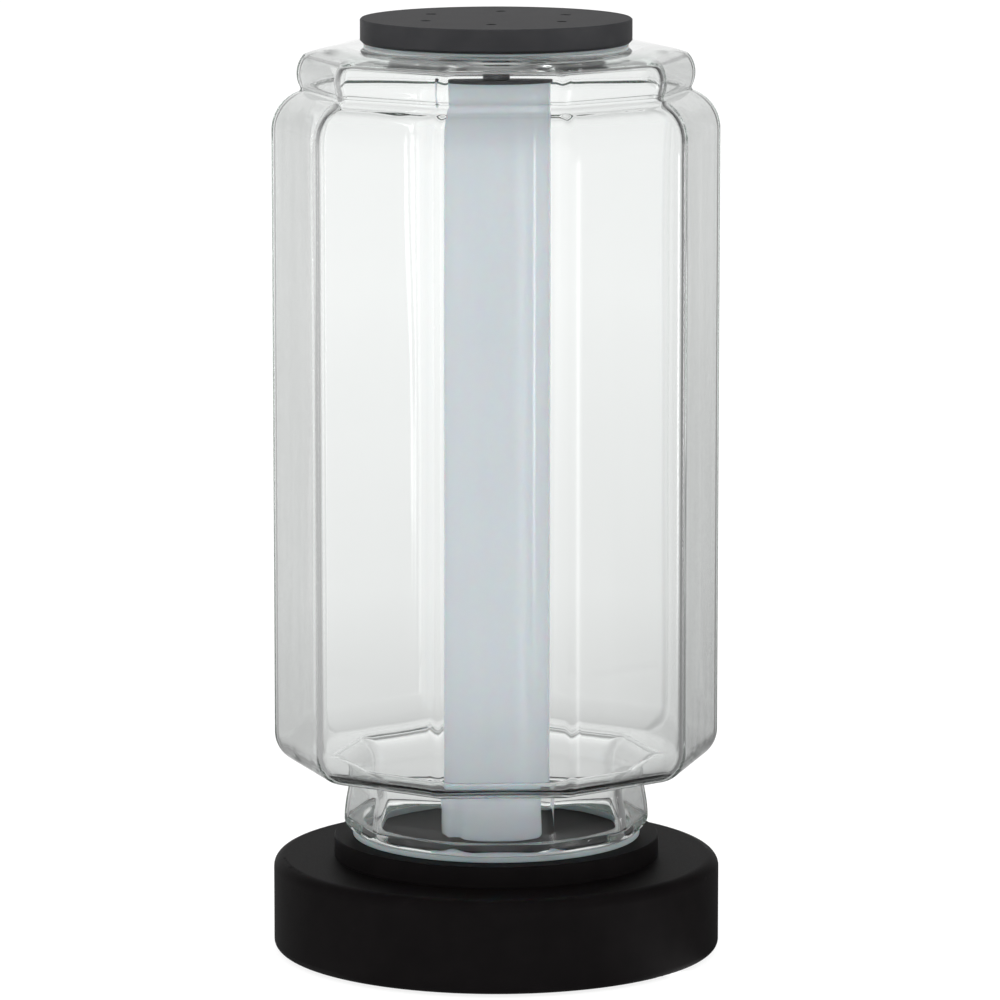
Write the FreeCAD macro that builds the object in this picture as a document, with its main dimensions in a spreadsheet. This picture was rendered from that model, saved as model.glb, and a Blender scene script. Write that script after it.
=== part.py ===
import FreeCAD, Part
import math
import os
import Sketcher

# A table lamp: a ten-sided clear glass jar stands on a round black base, and an opal
# tube with light strips inside it runs up the jar's axis to a screwed-on cap.
# Millimetres, +Z up, the origin on the table under the lamp's axis, the front towards -Y.

sizes = [
    # base
    ("footProud", 1.0, "feet stand below the rim of the base"),
    ("baseRadius", 87.5, "outside of the base"),
    ("baseHeight", 36.5, "rim to top of the base"),
    ("baseWall", 4.0, "side wall of the base"),
    ("baseRoof", 4.0, "top wall of the base"),
    ("baseTopRound", 4.5, "outer top edge of the base"),
    ("baseRimRound", 3.0, "outer bottom edge of the base"),
    ("bossRadius", 4.5, "screw bosses under the roof of the base"),
    ("bossInset", 11.5, "bosses inside the side wall"),
    ("plateThickness", 2.0, "bottom plate"),
    ("plateRecess", 1.0, "bottom plate above the rim of the base"),
    ("plateGap", 0.5, "bottom plate to the side wall"),
    ("plateScrewRadius", 1.5, "shank of a plate screw"),
    ("plateScrewLength", 10.0, "plate screw with its head"),
    ("plateScrewHead", 2.8, "radius of the countersunk head"),
    ("screwGap", 0.1, "round a shank in its hole"),
    ("footRadius", 9.0, "foot pads"),
    ("footInset", 17.5, "foot pads inside the side wall"),
    # mains inlet at the back
    ("inletHeight", 15.0, "inlet above the table"),
    ("inletBore", 3.5, "bore of the grommet"),
    ("inletNeck", 4.9, "grommet inside the wall"),
    ("inletFlange", 6.8, "lips of the grommet"),
    ("inletLip", 1.2, "thickness of a lip"),
    ("inletClear", 0.3, "inner lip clear of the curved wall"),
    # collar and gaskets
    ("collarRadius", 63.7, "step under the glass"),
    ("collarHeight", 8.2, "step under the glass"),
    ("collarEdge", 0.4, "edges of the step"),
    ("lowerGasketProud", 0.9, "lower gasket outside the flat that stands on it"),
    ("lowerGasketInside", 1.0, "lower gasket inside the opening of the foot"),
    ("lowerGasketThickness", 2.4, "lower gasket"),
    ("upperGasketInset", 1.4, "upper gasket inside the edge of the cap"),
    ("upperGasketThickness", 1.3, "upper gasket"),
    ("gasketGap", 0.3, "upper gasket round the spigot of the cap"),
    # glass
    ("glassHeight", 307.9, "foot to crown of the glass"),
    ("glassWall", 2.8, "wall of the glass"),
    ("cornerRound", 6.0, "upright corners outside"),
    ("cornerRoundInside", 9.0, "upright corners inside"),
    ("footRimRadius", 51.0, "opening at the foot"),
    ("footLandRadius", 55.5, "flat the glass stands on"),
    ("footRound", 4.2, "foot curls out to the neck"),
    ("footCornerRound", 16.0, "upright corners half way round the foot"),
    ("neckTaper", 1.9, "neck narrows from its foot to its top"),
    ("neckBend", 9.5, "foot to the bend of the neck"),
    ("neckRise", 18.0, "foot to the top of the neck"),
    ("neckCornerRound", 8.0, "upright corners of the neck"),
    ("bodyRadius", 86.9, "corner to axis of the body"),
    ("bodyFloorRise", 8.4, "top of the neck to the underside of the body"),
    ("bodyFloorRound", 12.5, "bottom edge of the body"),
    ("shoulderRound", 16.0, "top edge of the body"),
    ("shoulderDrop", 32.5, "crown to the start of the shoulder"),
    ("grooveRound", 1.2, "groove between shoulder and bead"),
    ("beadRound", 11.0, "bead above the shoulder"),
    ("beadInset", 20.8, "corner of the body to the centre of the bead's round"),
    ("beadDrop", 10.5, "crown to the middle of the bead"),
    ("beadEnd", 40.0, "degrees above level where the bead turns into the crown"),
    ("crownRadius", 57.0, "flat on top of the glass"),
    ("crownFlatRound", 48.45, "corners of that flat, which is nearly a circle"),
    ("crownCornerRound", 15.0, "upright corners where the crown turns level"),
    ("crownFullness", 0.5, "weight of the crown's curve"),
    ("mouthRadius", 42.0, "opening under the cap"),
    # cap
    ("capRadius", 52.6, "cap"),
    ("capHeight", 9.3, "cap above the gasket"),
    ("capTopEdge", 0.5, "upper edge of the cap"),
    ("capLowEdge", 1.0, "lower edge of the cap"),
    ("spigotClear", 1.8, "step under the cap inside the mouth of the glass"),
    ("spigotDepth", 3.0, "step below the cap"),
    ("spigotWall", 3.7, "step round the recess under the cap"),
    ("capSkin", 5.0, "cap above its recess"),
    ("capBossRadius", 9.0, "threaded boss of the cap"),
    ("capThreadEngaged", 6.0, "stem inside the threaded hole"),
    ("capThreadSpare", 1.5, "threaded hole above the stem"),
    ("threadGap", 0.05, "stem's thread in the cap"),
    ("ventRadius", 2.1, "vent holes of the cap"),
    ("ventInset", 6.3, "vent holes inside the wall of the recess"),
    ("ventTurn", -5.7, "degrees that the ring of vents is turned"),
    # stem
    ("stemThread", 5.0, "threaded ends of the stem"),
    ("stemProud", 0.25, "plain length of the stem over its threads"),
    ("stemBore", 3.5, "bore of the stem"),
    ("stemTail", 2.5, "stem below its lower nut"),
    ("stemThreadSpare", 4.0, "thread above the upper nut"),
    ("stemThreadFree", 1.0, "thread below the cap"),
    ("stemHoleGap", 0.2, "stem in the holes that it passes"),
    ("nutFlats", 14.0, "nuts across flats"),
    ("nutHeight", 4.0, "nuts"),
    ("washerRadius", 9.0, "washer under the base's roof"),
    ("washerThickness", 1.5, "washer"),
    # tube
    ("tubeRadius", 21.0, "opal tube"),
    ("tubeWall", 3.0, "opal tube"),
    ("seatFlange", 0.5, "seat below the tube"),
    ("seatSpigot", 8.0, "seat inside the tube"),
    ("tubeFit", 0.3, "round a spigot inside the tube"),
    ("endCapProud", 0.75, "end cap outside the tube"),
    ("endCapThickness", 2.1, "end cap above the tube"),
    ("endCapSpigot", 6.0, "end cap inside the tube"),
    ("endCapWall", 3.0, "wall of that spigot"),
    ("capHeadroom", 11.8, "end cap to the underside of the cap"),
    # light source
    ("coreFlats", 22.0, "six-sided heat sink across flats"),
    ("coreBoreGap", 0.35, "heat sink round the stem"),
    ("coreGrooveRadius", 1.6, "air grooves along the corners"),
    ("coreHeadroom", 3.0, "heat sink to the end cap"),
    ("stripWidth", 10.0, "circuit strips"),
    ("stripThickness", 1.0, "circuit strips"),
    ("stripMargin", 4.0, "strip to each end of the heat sink"),
    ("chipLength", 3.5, "light chips across the strip"),
    ("chipHeight", 2.8, "light chips along the strip"),
    ("chipThickness", 0.7, "light chips"),
    ("chipMargin", 14.0, "outermost chips from the ends of their strip"),
    # leads
    ("leadRadius", 0.8, "leads to the light source"),
    ("leadHoleRadius", 3.6, "holes for the two leads"),
    ("leadGap", 0.05, "lead over its solder pad"),
    ("leadSpread", 1.3, "each lead beside the middle of its strip"),
    ("leadPad", 8.0, "lead over the foot of its strip"),
    ("leadOutlet", 4.0, "leads beside the middle line of the driver"),
    ("leadLow", 0.8, "lower light lead clear of the driver's screws"),
    ("leadStep", 4.0, "upper light lead above the lower one"),
    ("leadRun", 15.0, "light leads straight out of the driver"),
    ("leadCorner", 54.0, "corner of the light leads in front of the stem"),
    ("mainsLeadRadius", 1.0, "mains leads"),
    ("mainsLow", 0.2, "lower mains lead clear of the driver's screws"),
    ("mainsStep", 2.5, "upper mains lead above the lower one"),
    ("mainsRun", 16.0, "mains leads straight out of the block"),
    ("neutralBend", 13.0, "corner of the neutral lead behind the driver"),
    ("liveBend", 18.0, "corner of the live lead behind the driver"),
    # driver on the bottom plate
    ("driverX", -38.0, "middle of the driver"),
    ("driverLength", 92.0, "driver, front to back"),
    ("driverWidth", 38.0, "driver, side to side"),
    ("driverHeight", 18.0, "case of the driver"),
    ("driverLid", 2.0, "lid of the driver"),
    ("driverRound", 3.0, "upright edges of the driver"),
    ("earLength", 9.0, "screw ears of the driver"),
    ("earWidth", 14.0, "screw ears of the driver"),
    ("earHeight", 3.0, "screw ears of the driver"),
    ("panHead", 3.2, "radius of a pan head"),
    ("panHeadHeight", 2.2, "pan head"),
    # terminal block on the bottom plate
    ("blockX", 0.0, "side of the block that faces the driver"),
    ("blockInset", 18.5, "back of the block inside the side wall"),
    ("blockWidth", 17.0, "block, side to side"),
    ("polePitch", 10.0, "pole to pole"),
    ("blockHeight", 10.0, "block under its turrets"),
    ("turretRadius", 3.3, "turrets over the clamping screws"),
    ("turretHeight", 4.0, "turrets"),
    ("turretInset", 0.6, "turrets inside the long sides of the block"),
    ("clampScrewRadius", 1.7, "clamping screws"),
    ("clampScrewDepth", 2.0, "clamping screws below the turrets"),
    # earth
    ("earthX", -12.0, "earth screw"),
    ("earthLead", 15.0, "earth screw in front of the block"),
    ("earthTagRadius", 4.2, "ring of the earth tag"),
    ("earthTagThickness", 0.8, "earth tag"),
    ("earthTagLength", 12.0, "screw to the end of the tag"),
    ("earthTagWidth", 3.6, "tongue of the earth tag"),
    ("earthLeadRise", 6.0, "earth lead above the bottom plate at the block"),
    ("earthLeadBend", 3.0, "corner of the earth lead beside its tag"),
    ("earthLeadDrop", 2.0, "earth lead comes down past the end of the tag"),
    ("earthLeadPad", 6.0, "earth lead over the end of the tag"),
]

bossCount = 3
footCount = 4
ventCount = 6
sideCount = 10
stripCount = 6
chipsPerStrip = 14
poleCount = 3
sewingTolerance = 0.001
sameCircle = 1e-4  # two circles closer than this are the same
leastFlat = 1.0  # a corner's round stays this much under its reach
bendShare = 0.45  # of the shorter run, taken by the bend of a lead at each of its ends

vector = FreeCAD.Vector
doc = FreeCAD.newDocument("TableLamp")
sheet = doc.addObject("Spreadsheet::Sheet", "Sizes")
for row, (alias, value, meaning) in enumerate(sizes, start=1):
    sheet.set(f"A{row}", meaning)
    sheet.set(f"B{row}", str(value))
    sheet.setAlias(f"B{row}", alias)
doc.recompute()

# levels above the table, each worked out from the sheet
rim = "Sizes.footProud"
plateLow = f"({rim} + Sizes.plateRecess)"
plateTop = f"({plateLow} + Sizes.plateThickness)"
baseTop = f"({rim} + Sizes.baseHeight)"
roofLow = f"({baseTop} - Sizes.baseRoof)"
collarTop = f"({baseTop} + Sizes.collarHeight)"
glassFoot = f"({collarTop} + Sizes.lowerGasketThickness)"
glassTop = f"({glassFoot} + Sizes.glassHeight)"
capLow = f"({glassTop} + Sizes.upperGasketThickness)"
capTop = f"({capLow} + Sizes.capHeight)"
spigotLow = f"({capLow} - Sizes.spigotDepth)"
stemTop = f"({spigotLow} + Sizes.capThreadEngaged)"
endCapTop = f"({capLow} - Sizes.capHeadroom)"
tubeTop = f"({endCapTop} - Sizes.endCapThickness)"
tubeLow = f"({collarTop} + Sizes.seatFlange)"
seatTop = f"({tubeLow} + Sizes.seatSpigot)"
coreLow = f"({seatTop} + Sizes.nutHeight)"
coreTop = f"({tubeTop} - Sizes.endCapSpigot - Sizes.coreHeadroom)"
washerLow = f"({roofLow} - Sizes.washerThickness)"
lowerNutLow = f"({washerLow} - Sizes.nutHeight)"
stemLow = f"({lowerNutLow} - Sizes.stemTail)"
tubeBore = "(Sizes.tubeRadius - Sizes.tubeWall)"
spigotFit = f"({tubeBore} - Sizes.tubeFit)"
stemHole = "(Sizes.stemThread + Sizes.stemHoleGap)"
stemPlain = "(Sizes.stemThread + Sizes.stemProud)"
screwHole = "(Sizes.plateScrewRadius + Sizes.screwGap)"
stripFace = "(Sizes.coreFlats / 2 + Sizes.stripThickness)"
leadX = f"({stripFace} + Sizes.leadGap + Sizes.leadRadius)"
wallInside = "(Sizes.baseRadius - Sizes.baseWall)"
blockFront = f"({wallInside} - Sizes.blockInset - {poleCount} * Sizes.polePitch)"
earthY = f"({blockFront} - Sizes.earthLead)"
spigotRadius = "(Sizes.mouthRadius - Sizes.spigotClear)"
recessRadius = f"({spigotRadius} - Sizes.spigotWall)"
stripLow = f"({coreLow} + Sizes.stripMargin)"
screwTop = f"({plateTop} + Sizes.earHeight + Sizes.panHeadHeight)"
stripLength = f"({coreTop} - {coreLow} - 2 * Sizes.stripMargin)"

pieces = []


def size(expression):
    return float(sheet.evalExpression(expression))


def keep(piece, label):
    piece.Label = label
    pieces.append(piece)
    return piece


# ---- helpers for bodies made of sketches and features


def newBody(name):
    return doc.addObject("PartDesign::Body", name)


def originPart(body, role):
    return next(part for part in body.Origin.OriginFeatures if part.Role == role)


def newSketch(body, name, role="XZ_Plane", offset=None):
    sketch = body.newObject("Sketcher::SketchObject", name)
    sketch.AttachmentSupport = [(originPart(body, role), "")]
    sketch.MapMode = "FlatFace"
    if offset:
        sketch.setExpression("AttachmentOffset.Base.z", offset)
    return sketch


def bindPoint(sketch, element, point, x, y):
    for kind, text in (("DistanceX", x), ("DistanceY", y)):
        index = sketch.addConstraint(
            Sketcher.Constraint(kind, -1, 1, element, point, size(text))
        )
        sketch.setExpression(f"Constraints[{index}]", text)


def drawOutline(sketch, corners):
    places = [vector(size(x), size(y), 0) for x, y in corners]
    count = len(places)
    for index, place in enumerate(places):
        sketch.addGeometry(Part.LineSegment(place, places[(index + 1) % count]), False)
    for index in range(count):
        following = (index + 1) % count
        sketch.addConstraint(Sketcher.Constraint("Coincident", index, 2, following, 1))
    for index, (x, y) in enumerate(corners):
        bindPoint(sketch, index, 1, x, y)


def drawCircle(sketch, x, y, radius):
    circle = Part.Circle(vector(size(x), size(y), 0), vector(0, 0, 1), size(radius))
    element = sketch.addGeometry(circle, False)
    bindPoint(sketch, element, 3, x, y)
    index = sketch.addConstraint(Sketcher.Constraint("Radius", element, size(radius)))
    sketch.setExpression(f"Constraints[{index}]", radius)


def revolve(body, name, corners):
    sketch = newSketch(body, name + "Outline")
    drawOutline(sketch, corners)
    feature = body.newObject("PartDesign::Revolution", name)
    feature.Profile = sketch
    feature.ReferenceAxis = (sketch, ["V_Axis"])
    feature.Angle = 360
    doc.recompute()
    return feature


def extrude(body, kind, name, sketch, length, backwards=False):
    feature = body.newObject(f"PartDesign::{kind}", name)
    feature.Profile = sketch
    feature.setExpression("Length", length)
    feature.Reversed = backwards
    doc.recompute()
    return feature


def repeatAround(body, feature, count):
    pattern = body.newObject("PartDesign::PolarPattern", feature.Name + "Ring")
    pattern.Originals = [feature]
    pattern.Axis = (originPart(body, "Z_Axis"), [""])
    pattern.Angle = 360
    pattern.Occurrences = count
    body.Tip = pattern
    doc.recompute()
    return pattern


def dressCircles(body, kind, name, amount, circles):
    # a Fillet or Chamfer on the full circles of the body whose radius and height are given
    wanted = [(size(reach), size(level)) for reach, level in circles]
    base = body.Tip
    names = []
    for index, edge in enumerate(base.Shape.Edges, start=1):
        if not isinstance(edge.Curve, Part.Circle):
            continue
        for reach, level in wanted:
            same = abs(edge.Curve.Radius - reach) < sameCircle
            if same and abs(edge.Curve.Center.z - level) < sameCircle:
                names.append(f"Edge{index}")
    feature = body.newObject(f"PartDesign::{kind}", name)
    feature.Base = (base, names)
    feature.setExpression("Radius" if kind == "Fillet" else "Size", amount)
    doc.recompute()
    return feature


# ---- helpers for primitives


def bind(thing, **expressions):
    names = {"x": "Placement.Base.x", "y": "Placement.Base.y", "z": "Placement.Base.z"}
    for key, text in expressions.items():
        thing.setExpression(names.get(key, key), str(text))
    return thing


def cylinder(name, radius, height, x="0", y="0", z="0"):
    thing = doc.addObject("Part::Cylinder", name)
    return bind(thing, Radius=radius, Height=height, x=x, y=y, z=z)


def cone(name, lowRadius, highRadius, height, x, y, z):
    thing = doc.addObject("Part::Cone", name)
    return bind(thing, Radius1=lowRadius, Radius2=highRadius, Height=height, x=x, y=y, z=z)


def box(name, length, width, height, x, y, z):
    thing = doc.addObject("Part::Box", name)
    return bind(thing, Length=length, Width=width, Height=height, x=x, y=y, z=z)


def prism(name, flats, height, z, sides=6):
    thing = doc.addObject("Part::Prism", name)
    thing.Polygon = sides
    reach = f"{flats} / 2 / cos(180 / {sides})"
    return bind(thing, Circumradius=reach, Height=height, z=z)


def cut(name, base, tool):
    thing = doc.addObject("Part::Cut", name)
    thing.Base = base
    thing.Tool = tool
    return thing


def fuse(name, things):
    thing = doc.addObject("Part::MultiFuse", name)
    thing.Shapes = things
    return thing


def group(name, things):
    thing = doc.addObject("Part::Compound", name)
    thing.Links = things
    return thing


def shapePiece(name, shape):
    piece = doc.addObject("Part::Feature", name)
    piece.Shape = shape
    piece.Placement = FreeCAD.Placement()
    return piece


# ---- base


def bossPlaces():
    pitch = f"({wallInside} - Sizes.bossInset)"
    turns = [360 / bossCount * index for index in range(bossCount)]
    return [(f"-{pitch} * cos({turn})", f"-{pitch} * sin({turn})") for turn in turns]


def makeBaseShell():
    body = newBody("BaseShell")
    revolve(body, "Shell", [
        (wallInside, rim),
        ("Sizes.baseRadius", rim),
        ("Sizes.baseRadius", baseTop),
        (stemHole, baseTop),
        (stemHole, roofLow),
        (wallInside, roofLow),
    ])
    dressCircles(body, "Fillet", "TopRound", "Sizes.baseTopRound", [("Sizes.baseRadius", baseTop)])
    dressCircles(body, "Fillet", "RimRound", "Sizes.baseRimRound", [("Sizes.baseRadius", rim)])
    x, y = bossPlaces()[0]
    bossSketch = newSketch(body, "BossOutline", "XY_Plane", plateTop)
    drawCircle(bossSketch, x, y, "Sizes.bossRadius")
    boss = extrude(body, "Pad", "Boss", bossSketch, f"{baseTop} - {plateTop} - Sizes.baseRoof / 2")
    repeatAround(body, boss, bossCount)
    threadSketch = newSketch(body, "BossThreadOutline", "XY_Plane", plateTop)
    drawCircle(threadSketch, x, y, screwHole)
    thread = extrude(body, "Pocket", "BossThread", threadSketch, "Sizes.plateScrewLength", True)
    repeatAround(body, thread, bossCount)
    leadSketch = newSketch(body, "LeadHoleOutline", "XY_Plane", roofLow)
    drawCircle(leadSketch, leadX, "0", "Sizes.leadHoleRadius")
    extrude(body, "Pocket", "LeadHole", leadSketch, "Sizes.baseRoof", True)
    inletSketch = newSketch(body, "InletOutline", "XZ_Plane")
    drawCircle(inletSketch, "0", "Sizes.inletHeight", "Sizes.inletNeck + Sizes.screwGap")
    extrude(body, "Pocket", "Inlet", inletSketch, "Sizes.baseRadius + Sizes.baseWall")
    return keep(body, "base_shell")


def makeBasePlate():
    body = newBody("BasePlate")
    radius = f"{wallInside} - Sizes.plateGap"
    revolve(body, "Plate", [("0", plateLow), (radius, plateLow), (radius, plateTop), ("0", plateTop)])
    tools = []
    wide = "Sizes.plateScrewHead + Sizes.screwGap"
    for index, (x, y) in enumerate(bossPlaces()):
        tools.append(cone(f"PlateSink{index}", wide, screwHole, "Sizes.plateThickness", x, y, plateLow))
    holes = driverScrewPlaces() + [("Sizes.earthX", earthY)]
    for index, (x, y) in enumerate(holes):
        tools.append(cylinder(f"PlateHole{index}", screwHole, "Sizes.plateThickness", x, y, plateLow))
    return keep(cut("BottomPlate", body, fuse("PlateHoles", tools)), "base_plate")


def makePlateScrews():
    screws = []
    radius = "Sizes.plateScrewRadius"
    for index, (x, y) in enumerate(bossPlaces()):
        head = cone(
            f"ScrewHead{index}", "Sizes.plateScrewHead", radius, "Sizes.plateThickness", x, y, plateLow
        )
        shank = cylinder(f"ScrewShank{index}", radius, "Sizes.plateScrewLength", x, y, plateLow)
        screws.append(fuse(f"PlateScrew{index}", [head, shank]))
    return keep(group("PlateScrews", screws), "base_plate_screws")


def makeFootPads():
    pads = []
    pitch = f"({wallInside} - Sizes.footInset)"
    for index in range(footCount):
        angle = 360 / footCount * (index + 0.5)
        x = f"{pitch} * cos({angle})"
        y = f"{pitch} * sin({angle})"
        pads.append(cylinder(f"FootPad{index}", "Sizes.footRadius", plateLow, x, y))
    return keep(group("FootPads", pads), "foot_pads")


def makeGrommet():
    # turned about the inlet's axis: x is the radius and y the distance from the lamp's axis
    body = newBody("Grommet")
    inner = f"({wallInside} - Sizes.inletClear)"
    revolve(body, "Bush", [
        ("Sizes.inletBore", f"{inner} - Sizes.inletLip"),
        ("Sizes.inletFlange", f"{inner} - Sizes.inletLip"),
        ("Sizes.inletFlange", inner),
        ("Sizes.inletNeck", inner),
        ("Sizes.inletNeck", "Sizes.baseRadius"),
        ("Sizes.inletFlange", "Sizes.baseRadius"),
        ("Sizes.inletFlange", "Sizes.baseRadius + Sizes.inletLip"),
        ("Sizes.inletBore", "Sizes.baseRadius + Sizes.inletLip"),
    ])
    outside = "Sizes.baseRadius + Sizes.inletLip"
    dressCircles(body, "Chamfer", "LipEdge", "Sizes.inletLip / 2", [("Sizes.inletFlange", outside)])
    body.Placement = FreeCAD.Placement(
        vector(0, 0, size("Sizes.inletHeight")), FreeCAD.Rotation(vector(1, 0, 0), -90)
    )
    body.setExpression("Placement.Base.z", "Sizes.inletHeight")
    return keep(body, "inlet_grommet")


# ---- collar, gaskets and cap


def makeCollar():
    body = newBody("Collar")
    revolve(body, "Step", [
        (stemHole, baseTop),
        ("Sizes.collarRadius", baseTop),
        ("Sizes.collarRadius", collarTop),
        (stemHole, collarTop),
    ])
    dressCircles(body, "Chamfer", "StepEdge", "Sizes.collarEdge", [("Sizes.collarRadius", collarTop)])
    sketch = newSketch(body, "StepLeadOutline", "XY_Plane", baseTop)
    drawCircle(sketch, leadX, "0", "Sizes.leadHoleRadius")
    extrude(body, "Pocket", "StepLeadHole", sketch, "Sizes.collarHeight", True)
    return keep(body, "collar")


def makeRing(name, label, bore, radius, low, high):
    body = newBody(name)
    revolve(body, name + "Ring", [(bore, low), (radius, low), (radius, high), (bore, high)])
    return keep(body, label)


def makeLowerGasket():
    bore = "Sizes.footRimRadius - Sizes.lowerGasketInside"
    radius = "Sizes.footLandRadius + Sizes.lowerGasketProud"
    makeRing("LowerGasket", "lower_gasket", bore, radius, collarTop, glassFoot)


def makeUpperGasket():
    bore = f"{spigotRadius} + Sizes.gasketGap"
    radius = "Sizes.capRadius - Sizes.upperGasketInset"
    makeRing("UpperGasket", "upper_gasket", bore, radius, glassTop, capLow)


def makeCap():
    body = newBody("Cap")
    skinLow = f"({capTop} - Sizes.capSkin)"
    threadRadius = "(Sizes.stemThread + Sizes.threadGap)"
    threadTop = f"({stemTop} + Sizes.capThreadSpare)"
    revolve(body, "Disc", [
        ("0", capTop),
        ("Sizes.capRadius", capTop),
        ("Sizes.capRadius", capLow),
        (spigotRadius, capLow),
        (spigotRadius, spigotLow),
        (recessRadius, spigotLow),
        (recessRadius, skinLow),
        ("Sizes.capBossRadius", skinLow),
        ("Sizes.capBossRadius", spigotLow),
        (threadRadius, spigotLow),
        (threadRadius, threadTop),
        ("0", threadTop),
    ])
    dressCircles(body, "Chamfer", "UpperEdge", "Sizes.capTopEdge", [("Sizes.capRadius", capTop)])
    dressCircles(body, "Chamfer", "LowerEdge", "Sizes.capLowEdge", [("Sizes.capRadius", capLow)])
    sketch = newSketch(body, "VentOutline", "XY_Plane", skinLow)
    pitch = f"({recessRadius} - Sizes.ventInset)"
    x = f"{pitch} * cos(90 + Sizes.ventTurn)"
    y = f"{pitch} * sin(90 + Sizes.ventTurn)"
    drawCircle(sketch, x, y, "Sizes.ventRadius")
    vent = extrude(body, "Pocket", "Vent", sketch, "Sizes.capSkin", True)
    repeatAround(body, vent, ventCount)
    return keep(body, "top_cap")


# ---- glass
# The outline runs from foot to crown as a chain of tangent stretches. A stretch is a list of
# poles (reach, level, corner) and the weight of its middle pole; reach is measured to the
# middle of an upright corner and corner is that corner's round.


def arcStretch(centre, radius, start, end, corners):
    # an arc of the outline, between two angles in degrees
    half = math.radians(end - start) / 2
    weight = math.cos(half)
    poles = []
    for angle, reach, corner in zip((start, (start + end) / 2, end), (1, 1 / weight, 1), corners):
        x = centre[0] + radius * reach * math.cos(math.radians(angle))
        z = centre[1] + radius * reach * math.sin(math.radians(angle))
        poles.append((x, z, corner))
    return poles, weight


def glassOutline():
    corner = size("Sizes.cornerRound")
    neckCorner = size("Sizes.neckCornerRound")
    footRound = size("Sizes.footRound")
    land = size("Sizes.footLandRadius")
    swell = land + footRound
    bend = size("Sizes.neckBend")
    neck = (swell - size("Sizes.neckTaper"), size("Sizes.neckRise"))
    lean = math.atan2(swell - neck[0], neck[1] - bend)
    floor = neck[1] + size("Sizes.bodyFloorRise")
    floorRound = size("Sizes.bodyFloorRound")
    body = size("Sizes.bodyRadius")
    shoulder = size("Sizes.shoulderRound")
    groove = size("Sizes.grooveRound")
    bead = size("Sizes.beadRound")
    crown = size("Sizes.glassHeight")
    steady = (corner, corner, corner)

    footCorners = (land - leastFlat, size("Sizes.footCornerRound"), neckCorner)
    foot = arcStretch((land, footRound), footRound, -90, 0, footCorners)
    neckPoles = [(swell, footRound, neckCorner), (swell, bend, neckCorner), (*neck, neckCorner)]

    runOut = (floor - neck[1]) / (1 + math.sin(lean))
    runOutCentre = (neck[0] + runOut * math.cos(lean), floor - runOut)
    runOutStart = 180 + math.degrees(lean)
    fillet = arcStretch(runOutCentre, -runOut, runOutStart - 180, -90, (neckCorner, corner, corner))
    floorCentre = (body - floorRound, floor + floorRound)
    floorArc = arcStretch(floorCentre, floorRound, -90, 0, steady)
    shoulderCentre = (body - shoulder, crown - size("Sizes.shoulderDrop"))
    beadCentre = (body - size("Sizes.beadInset"), crown - size("Sizes.beadDrop"))

    # the groove's small round touches both the shoulder's and the bead's
    across = (beadCentre[0] - shoulderCentre[0], beadCentre[1] - shoulderCentre[1])
    span = math.hypot(*across)
    fromShoulder = shoulder + groove
    fromBead = bead + groove
    turn = math.acos((fromShoulder**2 + span**2 - fromBead**2) / (2 * fromShoulder * span))
    shoulderEnd = math.atan2(across[1], across[0]) - turn
    grooveCentre = (
        shoulderCentre[0] + fromShoulder * math.cos(shoulderEnd),
        shoulderCentre[1] + fromShoulder * math.sin(shoulderEnd),
    )
    beadStart = math.atan2(grooveCentre[1] - beadCentre[1], grooveCentre[0] - beadCentre[0])
    shoulderEnd = math.degrees(shoulderEnd)
    beadStart = math.degrees(beadStart)
    shoulderArc = arcStretch(shoulderCentre, shoulder, 0, shoulderEnd, steady)
    grooveArc = arcStretch(grooveCentre, -groove, shoulderEnd, beadStart, steady)
    beadEnd = size("Sizes.beadEnd")
    beadArc = arcStretch(beadCentre, bead, beadStart, beadEnd, steady)

    # the crown leaves the bead along its tangent and ends level
    crownStart = beadArc[0][-1]
    crownBend = crownStart[0] - (crown - crownStart[1]) * math.tan(math.radians(beadEnd))
    crownPoles = [
        crownStart,
        (crownBend, crown, size("Sizes.crownCornerRound")),
        (size("Sizes.crownRadius"), crown, size("Sizes.crownFlatRound")),
    ]
    return [
        foot,
        (neckPoles, 1),
        fillet,
        ([fillet[0][-1], floorArc[0][0]], 1),
        floorArc,
        ([floorArc[0][-1], shoulderArc[0][0]], 1),
        shoulderArc,
        grooveArc,
        beadArc,
        (crownPoles, size("Sizes.crownFullness")),
    ]


def insideOf(stretch, wall, extraCorner):
    # moves a stretch inwards by the wall, which keeps its tangents
    poles, weight = stretch
    legs = []
    for (x1, z1, _), (x2, z2, _) in zip(poles, poles[1:]):
        length = math.hypot(x2 - x1, z2 - z1)
        along = ((x2 - x1) / length, (z2 - z1) / length)
        inward = (-along[1] * wall, along[0] * wall)
        legs.append(((x1 + inward[0], z1 + inward[1]), (x2 + inward[0], z2 + inward[1]), along))
    places = [legs[0][0], legs[-1][1]]
    if len(legs) == 2:
        (start, _, first), (other, _, second) = legs
        cross = first[0] * second[1] - first[1] * second[0]
        gap = (other[0] - start[0], other[1] - start[1])
        reach = (gap[0] * second[1] - gap[1] * second[0]) / cross
        places.insert(1, (start[0] + first[0] * reach, start[1] + first[1] * reach))
    moved = []
    for (x, z), (_, _, corner) in zip(places, poles):
        moved.append((x, z, min(corner + extraCorner, x - leastFlat)))
    return moved, weight


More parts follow.
